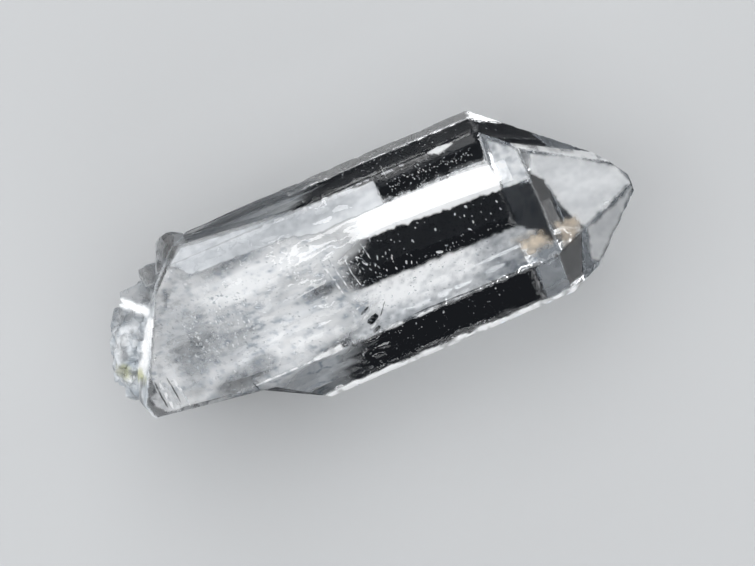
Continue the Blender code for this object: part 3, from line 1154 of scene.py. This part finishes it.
@dataclass(frozen=True)
class Veils:
    """Milky veils under the surface, one inside the other, each fading out towards the tip.

    The reach is how far from the root the milk goes, in millimetres, at each azimuth of reach_at, in
    degrees.
    """

    prism: Prism
    depths: tuple[float, ...] = (0.32 * MM, 1.5 * MM)
    thickness: tuple[float, ...] = (0.72, 0.88)
    start: float = 1.2 * MM
    end: float = 40 * MM
    least_out: float = 0.5 * MM
    around: int = 280
    rows: int = 200
    reach_at: tuple[float, ...] = (
        -180, -150, -90, -30, 5, 18, 46, 50, 54, 66, 74, 82, 104, 118, 126, 140, 165, 180,
    )
    reach: tuple[float, ...] = (
        15, 18, 22, 27, 20, 11, 12, 27, 29, 30, 28.5, 26.5, 25.5, 27, 24, 15.5, 13, 15,
    )
    fade: float = 1.5
    streak_cell: tuple[float, float, float] = (6.5, 0.9, 0.9)
    cloud_cell: tuple[float, float, float] = (4, 2.2, 2.2)
    pit_cell: tuple[float, float, float] = (0.42, 0.42, 0.42)
    wisp_cell: tuple[float, float, float] = (3.2, 0.55, 0.55)
    blot_cell: tuple[float, float, float] = (2.4, 1.5, 1.5)
    fine_cell: tuple[float, float, float] = (0.50, 0.30, 0.30)
    front: tuple[float, float] = (0.55, 0.80)
    patches: tuple[Patch, ...] = (
        Patch(8.6, 0.2, 3.0, 4.4, -0.34),
        Patch(10.8, -2.2, 4.6, 2.4, -0.38),
        Patch(7.6, -4.6, 1.8, 1.8, -0.32),
        Patch(11.4, -6.9, 2.6, 2.0, -0.55),
        Patch(14.7, -5.7, 2.0, 1.3, -0.45),
        Patch(14.4, 6.2, 5.2, 2.2, -0.42),
        Patch(23.0, -1.3, 2.6, 0.9, -0.50),
        Patch(17.0, 2.6, 8.0, 1.5, 0.25),
        Patch(28.5, 5.6, 4.6, 2.4, 0.22),
        Patch(18.0, -5.0, 6.0, 1.6, 0.18),
    )

    def patch(self, along: np.ndarray, angle: np.ndarray, places: np.ndarray) -> np.ndarray:
        """Adds up the patches.

        Args:
            along: Distances from the root, in millimetres.
            angle: Azimuths about the axis.
            places: The points, in millimetres.

        Returns:
            What the patches change at each point, faded out round the sides.
        """
        changes = sum(patch.on(along, places[..., 1]) for patch in self.patches)
        return changes * smooth(*self.front, np.sin(angle))

    def milk(self, along: np.ndarray, angle: np.ndarray, places: np.ndarray, number: int) -> np.ndarray:
        """How milky each point is.

        Args:
            along: Distances from the root, in millimetres.
            angle: Azimuths about the axis.
            places: The points, in millimetres.
            number: Which veil it is.

        Returns:
            The veil's own thickness with streaks along the crystal, patches and pits, times a fade at the
            distance that the milk reaches at that azimuth, which wanders by a noise.
        """
        flat = places.reshape(-1, 3)
        shape = along.shape
        streaks = layered_noise(flat, self.streak_cell, 4, 80 + number).reshape(shape)
        cloud = layered_noise(flat, self.cloud_cell, 4, 90 + number).reshape(shape)
        pits = layered_noise(flat, self.pit_cell, 2, 100 + number).reshape(shape)
        degrees = (np.degrees(angle) + 180) % 360 - 180
        reach = np.interp(degrees, self.reach_at, self.reach)
        wander = 1.5 * cloud + 1.6 * streaks
        fade = smooth(self.fade, -self.fade, along - reach + wander)
        value = self.thickness[number] + 0.20 * streaks + 0.22 * cloud + self.patch(along, angle, places)
        pitted = smooth(0.1, 0.5, -pits) * smooth(0.75, 0.35, value)
        return np.clip(value - 0.30 * pitted, 0.04, 0.97) * fade

    def shade(self, along: np.ndarray, angle: np.ndarray, places: np.ndarray, number: int) -> np.ndarray:
        """How light each point is.

        Args:
            along: Distances from the root, in millimetres.
            angle: Azimuths about the axis.
            places: The points, in millimetres.
            number: Which veil it is.

        Returns:
            A share from 0 to 1: wisps along the crystal, soft blots and fine dark pits that gather in
            places, and part of what the patches change.
        """
        flat = places.reshape(-1, 3)
        shape = along.shape
        wisps = layered_noise(flat, self.wisp_cell, 4, 120 + number).reshape(shape)
        blots = layered_noise(flat, self.blot_cell, 4, 130 + number).reshape(shape)
        fine = layered_noise(flat, self.fine_cell, 2, 140 + number).reshape(shape)
        patch = self.patch(along, angle, places)
        gathered = smooth(0.15, -0.55, blots + 0.6 * patch)
        pits = smooth(0.05, 0.50, -fine) * (0.22 + 0.60 * gathered)
        lumps = 0.30 * fine * gathered
        return np.clip(0.90 + 0.26 * wisps + 0.28 * blots + 0.62 * patch - pits + lumps, 0.03, 1)

    def build(self) -> list[bpy.types.Object]:
        """Builds the veils.

        Returns:
            One sheet for each depth. A point of it is at a distance from the root and an azimuth, as
            far out as the surface less the depth, and wanders in by a smooth noise.
        """
        along, angle = np.meshgrid(
            np.linspace(self.start, self.end, self.rows),
            np.linspace(-math.pi, math.pi, self.around, endpoint=False),
            indexing="ij",
        )
        faces = grid_faces(self.rows, self.around, True)
        made = []
        for number, depth in enumerate(self.depths):
            side = self.prism.inside(along, angle, depth)
            flat = self.prism.point(along, angle, side).reshape(-1, 3) / MM
            noise = layered_noise(flat, (5, 2.5, 2.5), 3, 60 + number).reshape(along.shape)
            side = side - (1 + noise) * 0.25 * depth
            places = self.prism.point(along, angle, np.maximum(side, self.least_out))
            piece = mesh_object(f"milky_veil_{number + 1}", places.reshape(-1, 3), faces)
            milk = self.milk(along / MM, angle, places / MM, number).ravel()
            give_attribute(piece, "milk", milk)
            give_attribute(piece, "shade", self.shade(along / MM, angle, places / MM, number).ravel())
            thin_out(piece, milk > LEAST_MILK)
            made.append(piece)
        return made


@dataclass(frozen=True)
class Haze:
    """An even haze close under one face. Its outline is given by its corners along and across.

    All its sizes are in millimetres. Ragged and comb say how far a round and a long-toothed noise shift
    its rim, and soft how wide the rim is. Grain and cloud are how strong the fine and the large noise
    on it are. Tipward and lower each give where it starts to get thinner and darker, where it stops,
    and by how much.
    """

    name: str
    face: Face
    outline: tuple[tuple[float, float], ...]
    thickness: float
    shade: float = 0.97
    depth: float = 0.45
    soft: float = 0.25
    ragged: float = 0.15
    comb: float = 0.0
    grain: float = 0.15
    cloud: float = 0.12
    tail: float = 0.0
    tipward: tuple[float, float, float] = (30.0, 40.0, 0.0)
    lower: tuple[float, float, float] = (-4.0, -7.0, 0.0)
    tone: Tone = Tone.WHITE
    spacing: float = 0.12
    grain_cell: tuple[float, float, float] = (0.55, 0.40, 9)
    cloud_cell: tuple[float, float, float] = (4.5, 1.5, 9)
    tooth_cell: tuple[float, float, float] = (0.35, 3.0, 9)
    wave: float = 0.06

    def build(self, prism: Prism) -> bpy.types.Object:
        """Builds the haze.

        Args:
            prism: The prism that it lies in.

        Returns:
            A fine sheet under the face. Its rim is shifted by a noise and it fades in over a tail at
            its root end. It is thinner and darker towards the tip and the lower side, as far as it
            says.
        """
        outline = np.array(self.outline)
        low, high = outline.min(axis=0) - self.soft, outline.max(axis=0) + self.soft
        columns, rows = (np.arange(low[axis], high[axis], self.spacing) for axis in (0, 1))
        x, y = np.meshgrid(columns, rows, indexing="ij")
        flat = np.stack([x.ravel(), y.ravel()], axis=1)
        spots = np.stack([*flat.T, np.full(len(flat), 3.3 * self.depth)], axis=1)
        grain = layered_noise(spots, self.grain_cell, 3, 110)
        cloud = layered_noise(spots, self.cloud_cell, 3, 111)
        teeth = layered_noise(spots, self.tooth_cell, 2, 112)
        inside = depth_within(outline, flat) + self.ragged * grain + self.comb * teeth
        rim = smooth(-self.soft, self.soft, inside)
        wander = flat[:, 0] + 1.5 * cloud
        if self.tail:
            rim = rim * smooth(low[0], low[0] + self.tail, wander)
        loss = self.tipward[2] * smooth(*self.tipward[:2], wander)
        loss = loss + self.lower[2] * smooth(*self.lower[:2], flat[:, 1] + 0.5 * cloud)
        milk = self.thickness + self.cloud * cloud + self.grain * grain - 0.5 * loss
        milk = np.clip(milk, 0.03, 0.98) * rim
        shade = np.clip(self.shade + self.cloud * cloud + 1.6 * self.grain * grain - loss, 0.05, 1)
        z = self.face.height(x, y) - self.depth + self.wave * cloud.reshape(x.shape)
        places = np.stack([x * MM - prism.root_to_origin, y * MM + prism.axis_across, z * MM], axis=-1)
        piece = mesh_object(self.name, places.reshape(-1, 3), grid_faces(*x.shape))
        give_attribute(piece, "milk", milk)
        give_attribute(piece, "shade", shade)
        thin_out(piece, milk > LEAST_MILK)
        return piece


# Most hazes are milk in the crystal. The white band and the two tip hazes are painted reflections: white
# sheets where light reflected inside the clear tip shows.
HAZES = (
    Haze(
        "pale_haze",
        FRONT,
        ((22.0, -2.5), (43.9, -3.0), (45.3, -4.3), (44.2, -7.15), (24.0, -7.15)),
        thickness=0.98,
        shade=1.0,
        grain=0.18,
        tail=3.5,
        tipward=(36.5, 40.5, 0.42),
        lower=(-4.6, -7.0, 0.38),
    ),
    # Painted reflection: a white sheet where the band of overhead light reflected inside the clear tip
    # shows; the band softbox's real reflection adds to it.
    Haze(
        "painted_reflection_band",
        FRONT,
        (
            (24.0, 3.2), (28.5, 2.0), (36.0, 1.55), (43.7, 1.05), (43.9, 2.5), (43.3, 4.0), (42.6, 4.35),
            (32.3, 4.55), (24.0, 4.6),
        ),
        thickness=0.98,
        shade=1.0,
        depth=0.30,
        soft=0.12,
        ragged=0.10,
        comb=0.22,
        grain=0.05,
        cloud=0.06,
        tail=5.5,
    ),
    Haze(
        "upper_haze",
        FRONT,
        ((11.5, 5.6), (22.0, 5.2), (24.5, 4.4), (32.2, 4.4), (32.2, 6.95), (28.0, 7.3), (9.9, 7.35)),
        thickness=0.90,
        shade=0.66,
        depth=0.20,
        soft=0.10,
        ragged=0.12,
        grain=0.07,
        cloud=0.16,
        tail=1.5,
        tipward=(22.0, 13.0, 0.16),
    ),
    Haze(
        "wedge_haze",
        FRONT,
        ((9.9, 7.2), (10.0, 7.5), (11.5, 8.6), (14.0, 8.3), (19.0, 7.75), (23.5, 7.35), (20.0, 7.2)),
        thickness=0.90,
        shade=0.50,
        depth=0.30,
        soft=0.10,
        ragged=0.06,
        grain=0.10,
        cloud=0.14,
    ),
    Haze(
        "root_corner",
        FRONT,
        ((2.9, -4.3), (4.8, -3.6), (5.4, -6.45), (4.0, -6.2), (3.1, -5.3)),
        thickness=0.66,
        shade=0.74,
        depth=0.30,
        soft=0.12,
        ragged=0.08,
        grain=0.16,
    ),
    Haze(
        "white_end",
        FRONT,
        ((43.9, 1.1), (44.3, 6.3), (46.5, 4.3), (46.6, 1.0)),
        thickness=0.90,
        shade=0.60,
        depth=0.40,
        soft=0.10,
        ragged=0.12,
        grain=0.22,
    ),
    # Painted reflection: a grey-white sheet under the tip's end face, where light reflected inside the
    # clear tip shows.
    Haze(
        "tip_painted_reflection",
        END,
        (
            (47.6, 3.3), (51.5, 1.9), (55.5, -0.6), (56.2, -2.6), (53.1, -4.0), (50.0, -5.3), (49.4, -4.9),
            (48.9, -3.7), (48.5, -2.6), (47.9, 0.3), (46.9, 1.4),
        ),
        thickness=0.93,
        shade=0.86,
        depth=0.35,
        soft=0.20,
        grain=0.05,
        cloud=0.08,
    ),
    # Painted reflection: a grey-white sheet under the tip's lower face, where light reflected inside the
    # clear tip shows.
    Haze(
        "tip_low_painted_reflection",
        TIP_SIDE,
        ((50.2, -5.6), (53.0, -4.5), (56.2, -3.0), (54.4, -4.9), (50.2, -8.6), (49.4, -8.4)),
        thickness=0.95,
        shade=0.88,
        depth=0.30,
        soft=0.20,
        grain=0.05,
        cloud=0.08,
    ),
    Haze(
        "peach_spot_1",
        FRONT,
        ((43.0, -4.3), (45.8, -4.6), (45.8, -5.9), (43.4, -6.1)),
        thickness=0.75,
        shade=0.85,
        depth=0.30,
        soft=0.65,
        ragged=0.35,
        tone=Tone.STAINED,
    ),
    Haze(
        "peach_spot_2",
        END,
        ((47.0, -4.2), (49.3, -4.3), (49.3, -5.4), (48.2, -6.3), (47.2, -6.4)),
        thickness=0.62,
        shade=0.70,
        depth=0.30,
        soft=0.45,
        ragged=0.30,
        tone=Tone.STAINED,
    ),
    Haze(
        "corner_haze",
        CORNER,
        ((44.0, -7.5), (46.2, -7.45), (46.25, -10.7), (43.5, -10.7)),
        thickness=0.36,
        shade=0.55,
        depth=0.25,
        soft=0.10,
        ragged=0.10,
        grain=0.04,
        lower=(-7.5, -8.8, 0.12),
    ),
)


@dataclass(frozen=True)
class Line:
    """A fine crack or gap close under the front face: its places along and across, in millimetres.

    Its width and depth are in millimetres too. Wobble is how far it sways, in widths, bends is how
    often it sways along and across, and point is how fast its ends widen.
    """

    places: tuple[tuple[float, float], ...]
    width: float
    depth: float = 0.20
    wobble: float = 0.10
    bends: tuple[float, float] = (19, 23)
    point: float = 2.2
    least: float = 0.06

    def sheet(self, prism: Prism, steps: int = 24) -> tuple[np.ndarray, np.ndarray]:
        """Works out the line.

        Args:
            prism: The prism that it lies in.
            steps: How many points it has along its length.

        Returns:
            The points and faces of a strip that follows the places, is widest in its middle and has
            pointed ends.
        """
        way = np.linspace(0, 1, steps)
        knots = np.linspace(0, 1, len(self.places))
        path = np.stack([np.interp(way, knots, column) for column in np.array(self.places).T], axis=1)
        sway = np.stack([np.sin(way * self.bends[0]), np.cos(way * self.bends[1])], axis=1)
        path += self.wobble * self.width * sway
        along = np.gradient(path, axis=0)
        side = np.stack([-along[:, 1], along[:, 0]], axis=1) / np.linalg.norm(along, axis=1, keepdims=True)
        half = self.width / 2 * np.clip(np.sin(way * math.pi) * self.point, self.least, 1)[:, None]
        both = np.stack([path - side * half, path + side * half], axis=1).reshape(-1, 2)
        x = both[:, 0] * MM - prism.root_to_origin
        z = np.full(len(both), prism.narrow + prism.wide - self.depth * MM)
        return np.stack([x, both[:, 1] * MM + prism.axis_across, z], axis=1), grid_faces(steps, 2)


@dataclass(frozen=True)
class Cracks:
    """The fine cracks under the front face: the white ones scatter light, the dark ones are open gaps."""

    prism: Prism
    white: tuple[Line, ...] = (
        Line(((28.42, 1.85), (28.61, 0.99), (28.82, -0.1)), 0.11, 0.9),
        Line(((24.08, 1.81), (24.37, 0.12), (24.98, -2.37)), 0.22),
        Line(((24.82, 1.71), (25.2, -0.01), (25.65, -2.1)), 0.16),
        Line(((26.4, 1.2), (26.5, -0.6), (26.9, -2.2)), 0.12),
        Line(((32.34, 6.42), (32.17, 5.49), (32.28, 4.44)), 0.14, 0.6),
        Line(((25.4, -4.35), (26.6, -3.95)), 0.14),
        Line(((25.7, -5.55), (27.0, -4.90)), 0.22),
        Line(((25.9, -6.75), (27.3, -6.10)), 0.20),
        Line(((13.2, -7.30), (15.0, -7.30), (18.0, -7.33), (22.0, -7.33)), 0.16),
        Line(((4.3, -3.1), (4.5, -4.6), (4.7, -6.3)), 0.30),
        Line(((5.8, -3.4), (6.1, -5.0), (6.4, -6.6)), 0.26),
    )
    dark: tuple[Line, ...] = (
        Line(((9.75, 7.55), (9.12, 7.08), (7.73, 5.89)), 0.12),
        Line(((28.46, -4.64), (27.48, -5.89)), 0.10),
        Line(((25.71, -4.97), (26.8, -4.49)), 0.20),
        Line(((26.1, -6.14), (27.25, -5.52)), 0.58),
        Line(((26.19, -7.12), (27.12, -6.74)), 0.30),
        Line(((30.5, -7.02), (32.44, -7.01), (36.8, -7.16), (43.2, -7.2)), 0.13),
        Line(((13.02, -6.98), (13.2, -7.2), (13.41, -7.9)), 0.14),
        Line(((3.9, -2.9), (4.0, -4.4), (4.2, -5.9)), 0.16),
        Line(((5.2, -3.0), (5.4, -4.2), (5.6, -6.0)), 0.13),
    )

    def build(self, name: str, lines: tuple[Line, ...]) -> bpy.types.Object:
        """Joins lines into one piece.

        Args:
            name: The piece's name.
            lines: The lines.

        Returns:
            The piece.
        """
        points, faces, total = [], [], 0
        for line in lines:
            places, quads = line.sheet(self.prism)
            points.append(places)
            faces.append(quads + total)
            total += len(places)
        return mesh_object(name, np.concatenate(points), np.concatenate(faces))


@dataclass(frozen=True)
class SpeckField:
    """Where specks lie, in millimetres and degrees, how many there are and how large.

    Longer is how much longer than wide a speck is, turn is which way it lies, and mostly_small is the
    power that makes large ones rare.
    """

    count: int
    along: tuple[float, float]
    azimuth: tuple[float, float]
    depth: tuple[float, float]
    size: tuple[float, float]
    longer: float = 1.6
    turn: float = 78.0
    turn_spread: float = 22.0
    mostly_small: float = 2.2
    least_depth: float = 0.25
    least_out: float = 0.5

    def draw(self, prism: Prism, chance: np.random.Generator) -> tuple[np.ndarray, ...]:
        """Draws the specks.

        Args:
            prism: The prism that they lie in.
            chance: What draws them.

        Returns:
            Their azimuths, middles, half sizes, turns and how much longer than wide they are.
        """
        along = chance.uniform(*self.along, self.count) * MM
        angle = np.radians(chance.uniform(*self.azimuth, self.count))
        depth = chance.uniform(*self.depth, self.count) * MM
        out = prism.inside(along, angle, self.least_depth * MM) - depth
        large = chance.uniform(0, 1, self.count) ** self.mostly_small
        size = (self.size[0] + large * (self.size[1] - self.size[0])) * MM
        turn = np.radians(self.turn + chance.normal(0, self.turn_spread, self.count))
        middle = prism.point(along, angle, np.maximum(out, self.least_out * MM))
        return angle, middle, size, turn, np.full(self.count, self.longer)


def across(value: float) -> float:
    """The azimuth in degrees of a place on the front face, from how far across it is in millimetres."""
    return math.degrees(math.atan2(WIDE, value))


@dataclass(frozen=True)
class Specks:
    """Specks of broken quartz and fluid pockets inside, each a little bent flake.

    A large one is given by its place along and across, its size and its turn, in millimetres and degrees.
    """

    prism: Prism
    name: str = "white_specks"
    seed: int = 9
    sides: int = 7
    fields: tuple[SpeckField, ...] = (
        SpeckField(26, (28, 43), (across(1.9), across(-2.6)), (0.3, 1.2), (0.05, 0.17), 2.4),
        SpeckField(110, (33, 42.5), (across(6.9), across(6.0)), (0.3, 1.0), (0.04, 0.13), 1.8),
        SpeckField(110, (33, 42.5), (across(4.6), across(3.8)), (0.3, 0.9), (0.04, 0.14), 1.8),
        SpeckField(50, (33, 42.5), (across(6.0), across(4.6)), (0.3, 0.9), (0.03, 0.10), 1.8),
        SpeckField(170, (29, 42.8), (across(2.9), across(2.1)), (0.3, 0.8), (0.04, 0.12), 3.0),
        SpeckField(45, (27, 43), (across(-2.2), across(-2.7)), (0.3, 0.8), (0.03, 0.08), 2.6),
        SpeckField(420, (8, 28), (across(7.5), across(-7.2)), (0.05, 0.25), (0.04, 0.12), 2.4),
        SpeckField(160, (8.5, 15.5), (across(1.6), across(-3.2)), (0.03, 0.12), (0.05, 0.16), 2.2),
        SpeckField(45, (24, 31), (across(1.5), across(-2.6)), (0.2, 0.9), (0.05, 0.16), 2.8),
        SpeckField(110, (12, 42), (12, 50), (0.2, 0.9), (0.04, 0.11), 2.4),
        SpeckField(60, (10, 40), (130, 178), (0.2, 0.9), (0.04, 0.11), 2.4),
        SpeckField(420, (9, 40), (-178, 8), (0.2, 1.4), (0.05, 0.15), 2.2),
    )
    large: tuple[tuple[float, float, float, float], ...] = (
        (39.69, 0.72, 0.28, 60), (39.9, -0.4, 0.14, 80), (36.0, -0.16, 0.26, 100), (38.33, -1.72, 0.10, 90),
        (35.5, -2.40, 0.42, 15), (32.0, -2.02, 0.30, 105), (30.83, -2.2, 0.20, 70), (32.37, 0.9, 0.12, 80),
        (31.6, -2.35, 0.16, 60), (36.4, -2.1, 0.22, 20), (34.2, 0.8, 0.12, 60), (38.9, 1.6, 0.12, 30),
        (28.2, -0.6, 0.34, 40), (29.0, -1.0, 0.24, 100), (27.6, 0.4, 0.30, 30), (30.2, 1.1, 0.12, 90),
    )
    large_depth: float = 0.7
    large_share: float = 0.6
    large_longer: float = 2.0
    raised: float = 0.25
    tilted: float = 0.25
    uneven: tuple[float, float] = (0.6, 1.2)

    def large_ones(self) -> tuple[np.ndarray, ...]:
        """Places the large specks under the front face.

        Returns:
            Their azimuths, middles, half sizes, turns and how much longer than wide they are.
        """
        along, beside, size, turn = np.array(self.large).reshape(-1, 4).T
        level = np.full(len(along), self.prism.narrow + self.prism.wide - self.large_depth * MM)
        middle = np.stack([along * MM - self.prism.root_to_origin, beside * MM, level], axis=1)
        facing = np.full(len(along), math.pi / 2)
        longer = np.full(len(along), self.large_longer)
        return facing, middle, size * MM * self.large_share, np.radians(turn), longer

    def build(self) -> bpy.types.Object:
        """Builds the specks.

        Returns:
            One mesh. A flake's rim runs round its middle at an uneven distance, longer one way, in the
            plane along the crystal's side there, and its middle is raised a little.
        """
        chance = np.random.default_rng(self.seed)
        drawn = [speck_field.draw(self.prism, chance) for speck_field in self.fields]
        angle, middle, size, turn, stretch = (np.concatenate(v) for v in zip(*drawn, self.large_ones()))
        count = len(angle)
        rim = np.arange(self.sides) / self.sides * 2 * math.pi
        far = chance.uniform(*self.uneven, (count, self.sides)) * size[:, None]
        longer = stretch[:, None] ** 0.5
        u = far * np.cos(rim) * longer
        v = far * np.sin(rim) / longer
        along = u * np.cos(turn)[:, None] - v * np.sin(turn)[:, None]
        side = u * np.sin(turn)[:, None] + v * np.cos(turn)[:, None]
        outward = np.stack([np.zeros(count), np.cos(angle), np.sin(angle)], axis=1)
        sideways = np.stack([np.zeros(count), -np.sin(angle), np.cos(angle)], axis=1)
        tilt = chance.normal(0, self.tilted, (count, 2))
        rise = along * tilt[:, :1] + side * tilt[:, 1:]
        points = (
            middle[:, None]
            + along[..., None] * np.array([1, 0, 0])
            + side[..., None] * sideways[:, None]
            + rise[..., None] * outward[:, None]
        )
        tops = middle + outward * size[:, None] * self.raised
        every = np.concatenate([points, tops[:, None]], axis=1).reshape(-1, 3)
        start = np.arange(count)[:, None, None] * (self.sides + 1)
        one = np.arange(self.sides)
        fan = np.stack([one, (one + 1) % self.sides, np.full(self.sides, self.sides)], axis=1)
        return mesh_object(self.name, every, (start + fan).reshape(-1, 3))


# Painted shade: grey flakes just under the skin that stand for the shade in the pits of the hammered
# surface.
PIT_SHADE_FIELDS = (
    SpeckField(900, (4, 29), (across(7.2), across(-7.2)), (0.01, 0.06), (0.03, 0.10), 2.6, 20),
    SpeckField(420, (6, 16), (across(3.5), across(-6.0)), (0.01, 0.06), (0.04, 0.15), 2.0, 50),
    SpeckField(260, (26, 44), (across(-3.0), across(-7.1)), (0.01, 0.06), (0.03, 0.11), 2.4, 10),
    SpeckField(160, (12, 32), (across(7.2), across(4.4)), (0.0, 0.02), (0.03, 0.09), 2.4, 10),
)


# The studio


@dataclass(frozen=True)
class Softbox:
    """A rectangular area light.

    Its middle is at a place over the floor. A level one faces straight down, and the others face the
    crystal.
    """

    name: str
    middle: tuple[float, float, float]
    width: float
    height: float
    radiance: float
    level: bool = False
    turn: float = 0.0
    colour: tuple[float, float, float] = (1, 1, 1)

    def build(self) -> None:
        """Makes the light. Its power is its radiance times pi times its area."""
        data = bpy.data.lights.new(self.name, "AREA")
        data.shape = "RECTANGLE"
        data.size, data.size_y = self.width, self.height
        data.energy = self.radiance * math.pi * self.width * self.height
        data.color = self.colour
        light = bpy.data.objects.new(self.name, data)
        light.location = self.middle
        light.rotation_euler = (0, 0, self.turn)
        if not self.level:
            light.rotation_euler = Vector(self.middle).to_track_quat("Z", "Y").to_euler()
        bpy.context.scene.collection.objects.link(light)


@dataclass(frozen=True)
class Studio:
    """The pale floor, the soft light and the camera."""

    floor_half: float = 0.6
    floor_gap: float = 0.15 * MM
    floor_colour: tuple[float, float, float] = (0.44, 0.45, 0.46)
    floor_roughness: float = 0.8
    surround: tuple[float, float, float] = (0.010, 0.011, 0.013)
    glow: tuple[float, float, float] = (0.26, 0.28, 0.30)
    glow_starts: tuple[float, float] = (-0.30, 0.02)
    glow_ends: tuple[float, float] = (0.60, 0.30)
    camera_distance: float = 0.25
    tilt: float = math.radians(6.58185)
    lean: float = math.radians(2.0)
    roll: float = math.radians(-23.13788)
    target: tuple[float, float, float] = (0.47377 * MM, -1.82783 * MM, 10.0 * MM)
    lens: float = 114.47
    lights: tuple[Softbox, ...] = (
        Softbox("top_far", (0, 0.348, 0.55), 0.90, 0.50, 1.8, True),
        Softbox("top_near", (0, -0.205, 0.55), 0.90, 0.49, 1.7, True),
        Softbox("top_root", (-0.26, 0.069, 0.55), 0.38, 0.058, 1.8, True),
        Softbox("top_tip", (0.27, 0.069, 0.55), 0.36, 0.058, 1.8, True),
        Softbox("band", (-0.003, 0.0774, 0.55), 0.078, 0.0075, 5.5, True, math.radians(-2.5)),
        Softbox("root_side", (-0.43, 0.05, 0.32), 0.55, 0.40, 1.8),
        Softbox("far_side", (0.10, 0.52, 0.24), 0.60, 0.35, 1.8),
        Softbox("near_side", (0.10, -0.52, 0.30), 0.60, 0.35, 1.6),
        Softbox("tip_side", (0.50, 0.05, 0.28), 0.50, 0.35, 1.0),
    )

    def floor(self) -> None:
        """Makes the floor. What is seen through the crystal is the dark surround, as in a dark field."""
        h, z = self.floor_half, -self.floor_gap
        points = np.array([(-h, -h, z), (h, -h, z), (h, h, z), (-h, h, z)])
        piece = mesh_object("floor", points, np.array([[0, 1, 2, 3]]))
        material, shader = new_material("floor")
        principled(shader, self.floor_colour, self.floor_roughness)
        piece.data.materials.append(material)
        piece.visible_transmission = False
        piece.visible_glossy = False

    def world(self) -> None:
        """Makes the surround: dark below and above, with a soft glow all round at the crystal's height."""
        world = bpy.data.worlds.new("surround")
        world.use_nodes = True
        shader = Shader(world.node_tree)
        axes = shader.add("SeparateXYZ")
        shader.feed(axes, 0, shader.add("TexCoord").outputs["Generated"])
        over = shader.ramp(axes.outputs["Z"], self.glow_starts)
        under = shader.ramp(axes.outputs["Z"], self.glow_ends)
        amount = shader.math("MULTIPLY", over, under)
        background = shader.add("Background")
        shader.feed(background, "Color", shader.mix(amount, self.surround, self.glow))
        shader.feed(shader.add("OutputWorld"), "Surface", background.outputs[0])
        bpy.context.scene.world = world

    def camera(self) -> None:
        """Makes the camera, which looks down on the front face, tilted, leaned and rolled."""
        data = bpy.data.cameras.new("camera")
        data.sensor_width = 36
        data.lens = self.lens
        data.clip_start = 0.01
        facing = Matrix.Rotation(self.lean, 3, "Y") @ Matrix.Rotation(self.tilt, 3, "X")
        camera = bpy.data.objects.new("camera", data)
        place = Vector(self.target) + facing @ Vector((0, 0, self.camera_distance))
        turned = facing @ Matrix.Rotation(self.roll, 3, "Z")
        camera.matrix_world = Matrix.Translation(place) @ turned.to_4x4()
        bpy.context.scene.collection.objects.link(camera)
        bpy.context.scene.camera = camera

    def light_paths(self) -> None:
        """Lets light pass the crystal's many faces and sheets."""
        scene = bpy.context.scene
        cycles = scene.cycles
        cycles.max_bounces = 14
        cycles.diffuse_bounces = 4
        cycles.glossy_bounces = 7
        cycles.transmission_bounces = 11
        cycles.transparent_max_bounces = 16
        cycles.caustics_refractive = True
        cycles.caustics_reflective = True
        cycles.sample_clamp_indirect = 6
        cycles.blur_glossy = 0.3
        cycles.use_denoising = True
        scene.view_settings.view_transform = "Standard"
        scene.view_settings.look = "None"

    def build(self) -> None:
        """Makes the whole studio."""
        self.floor()
        self.world()
        self.camera()
        for light in self.lights:
            light.build()
        self.light_paths()


def main() -> None:
    """Builds the crystal and the studio."""
    logging.basicConfig(level=logging.INFO, format="%(name)s: %(message)s")
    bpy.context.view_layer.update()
    Studio().build()
    prism = Prism()
    skin = Skin(prism)
    settle(skin.build(), ClearQuartz().material(), NODE)
    settle(skin.film(), Frost().material(Patterns().grain()))
    milk = Milk(Tone.WHITE.value).material()
    stained = Milk(Tone.STAINED.value, (0.95, 0.83, 0.68), (0.60, 0.50, 0.38)).material()
    tones = {Tone.WHITE: milk, Tone.STAINED: stained}
    for veil in Veils(prism).build():
        settle(veil, milk)
    for haze in HAZES:
        settle(haze.build(prism), tones[haze.tone])
    white = Flaw("white crack", (0.97, 0.98, 0.99), (0.80, 0.84, 0.88), 0.95, 0.25).material()
    gap = Flaw("open gap", (0.020, 0.026, 0.034), (0.05, 0.06, 0.07), 0.95, 0.45).material()
    cracks = Cracks(prism)
    settle(cracks.build("white_cracks", cracks.white), white)
    settle(cracks.build("dark_gaps", cracks.dark), gap)
    settle(Specks(prism).build(), white)
    # The grey pit flakes are painted shade for the pits of the hammered surface.
    pit = Flaw("pit shade", (0.66, 0.70, 0.74), (0.40, 0.45, 0.50), 0.80, 0.25).material()
    settle(Specks(prism, "pit_shade_flakes", 17, fields=PIT_SHADE_FIELDS, large=()).build(), pit)


if __name__ == "__main__":
    main()
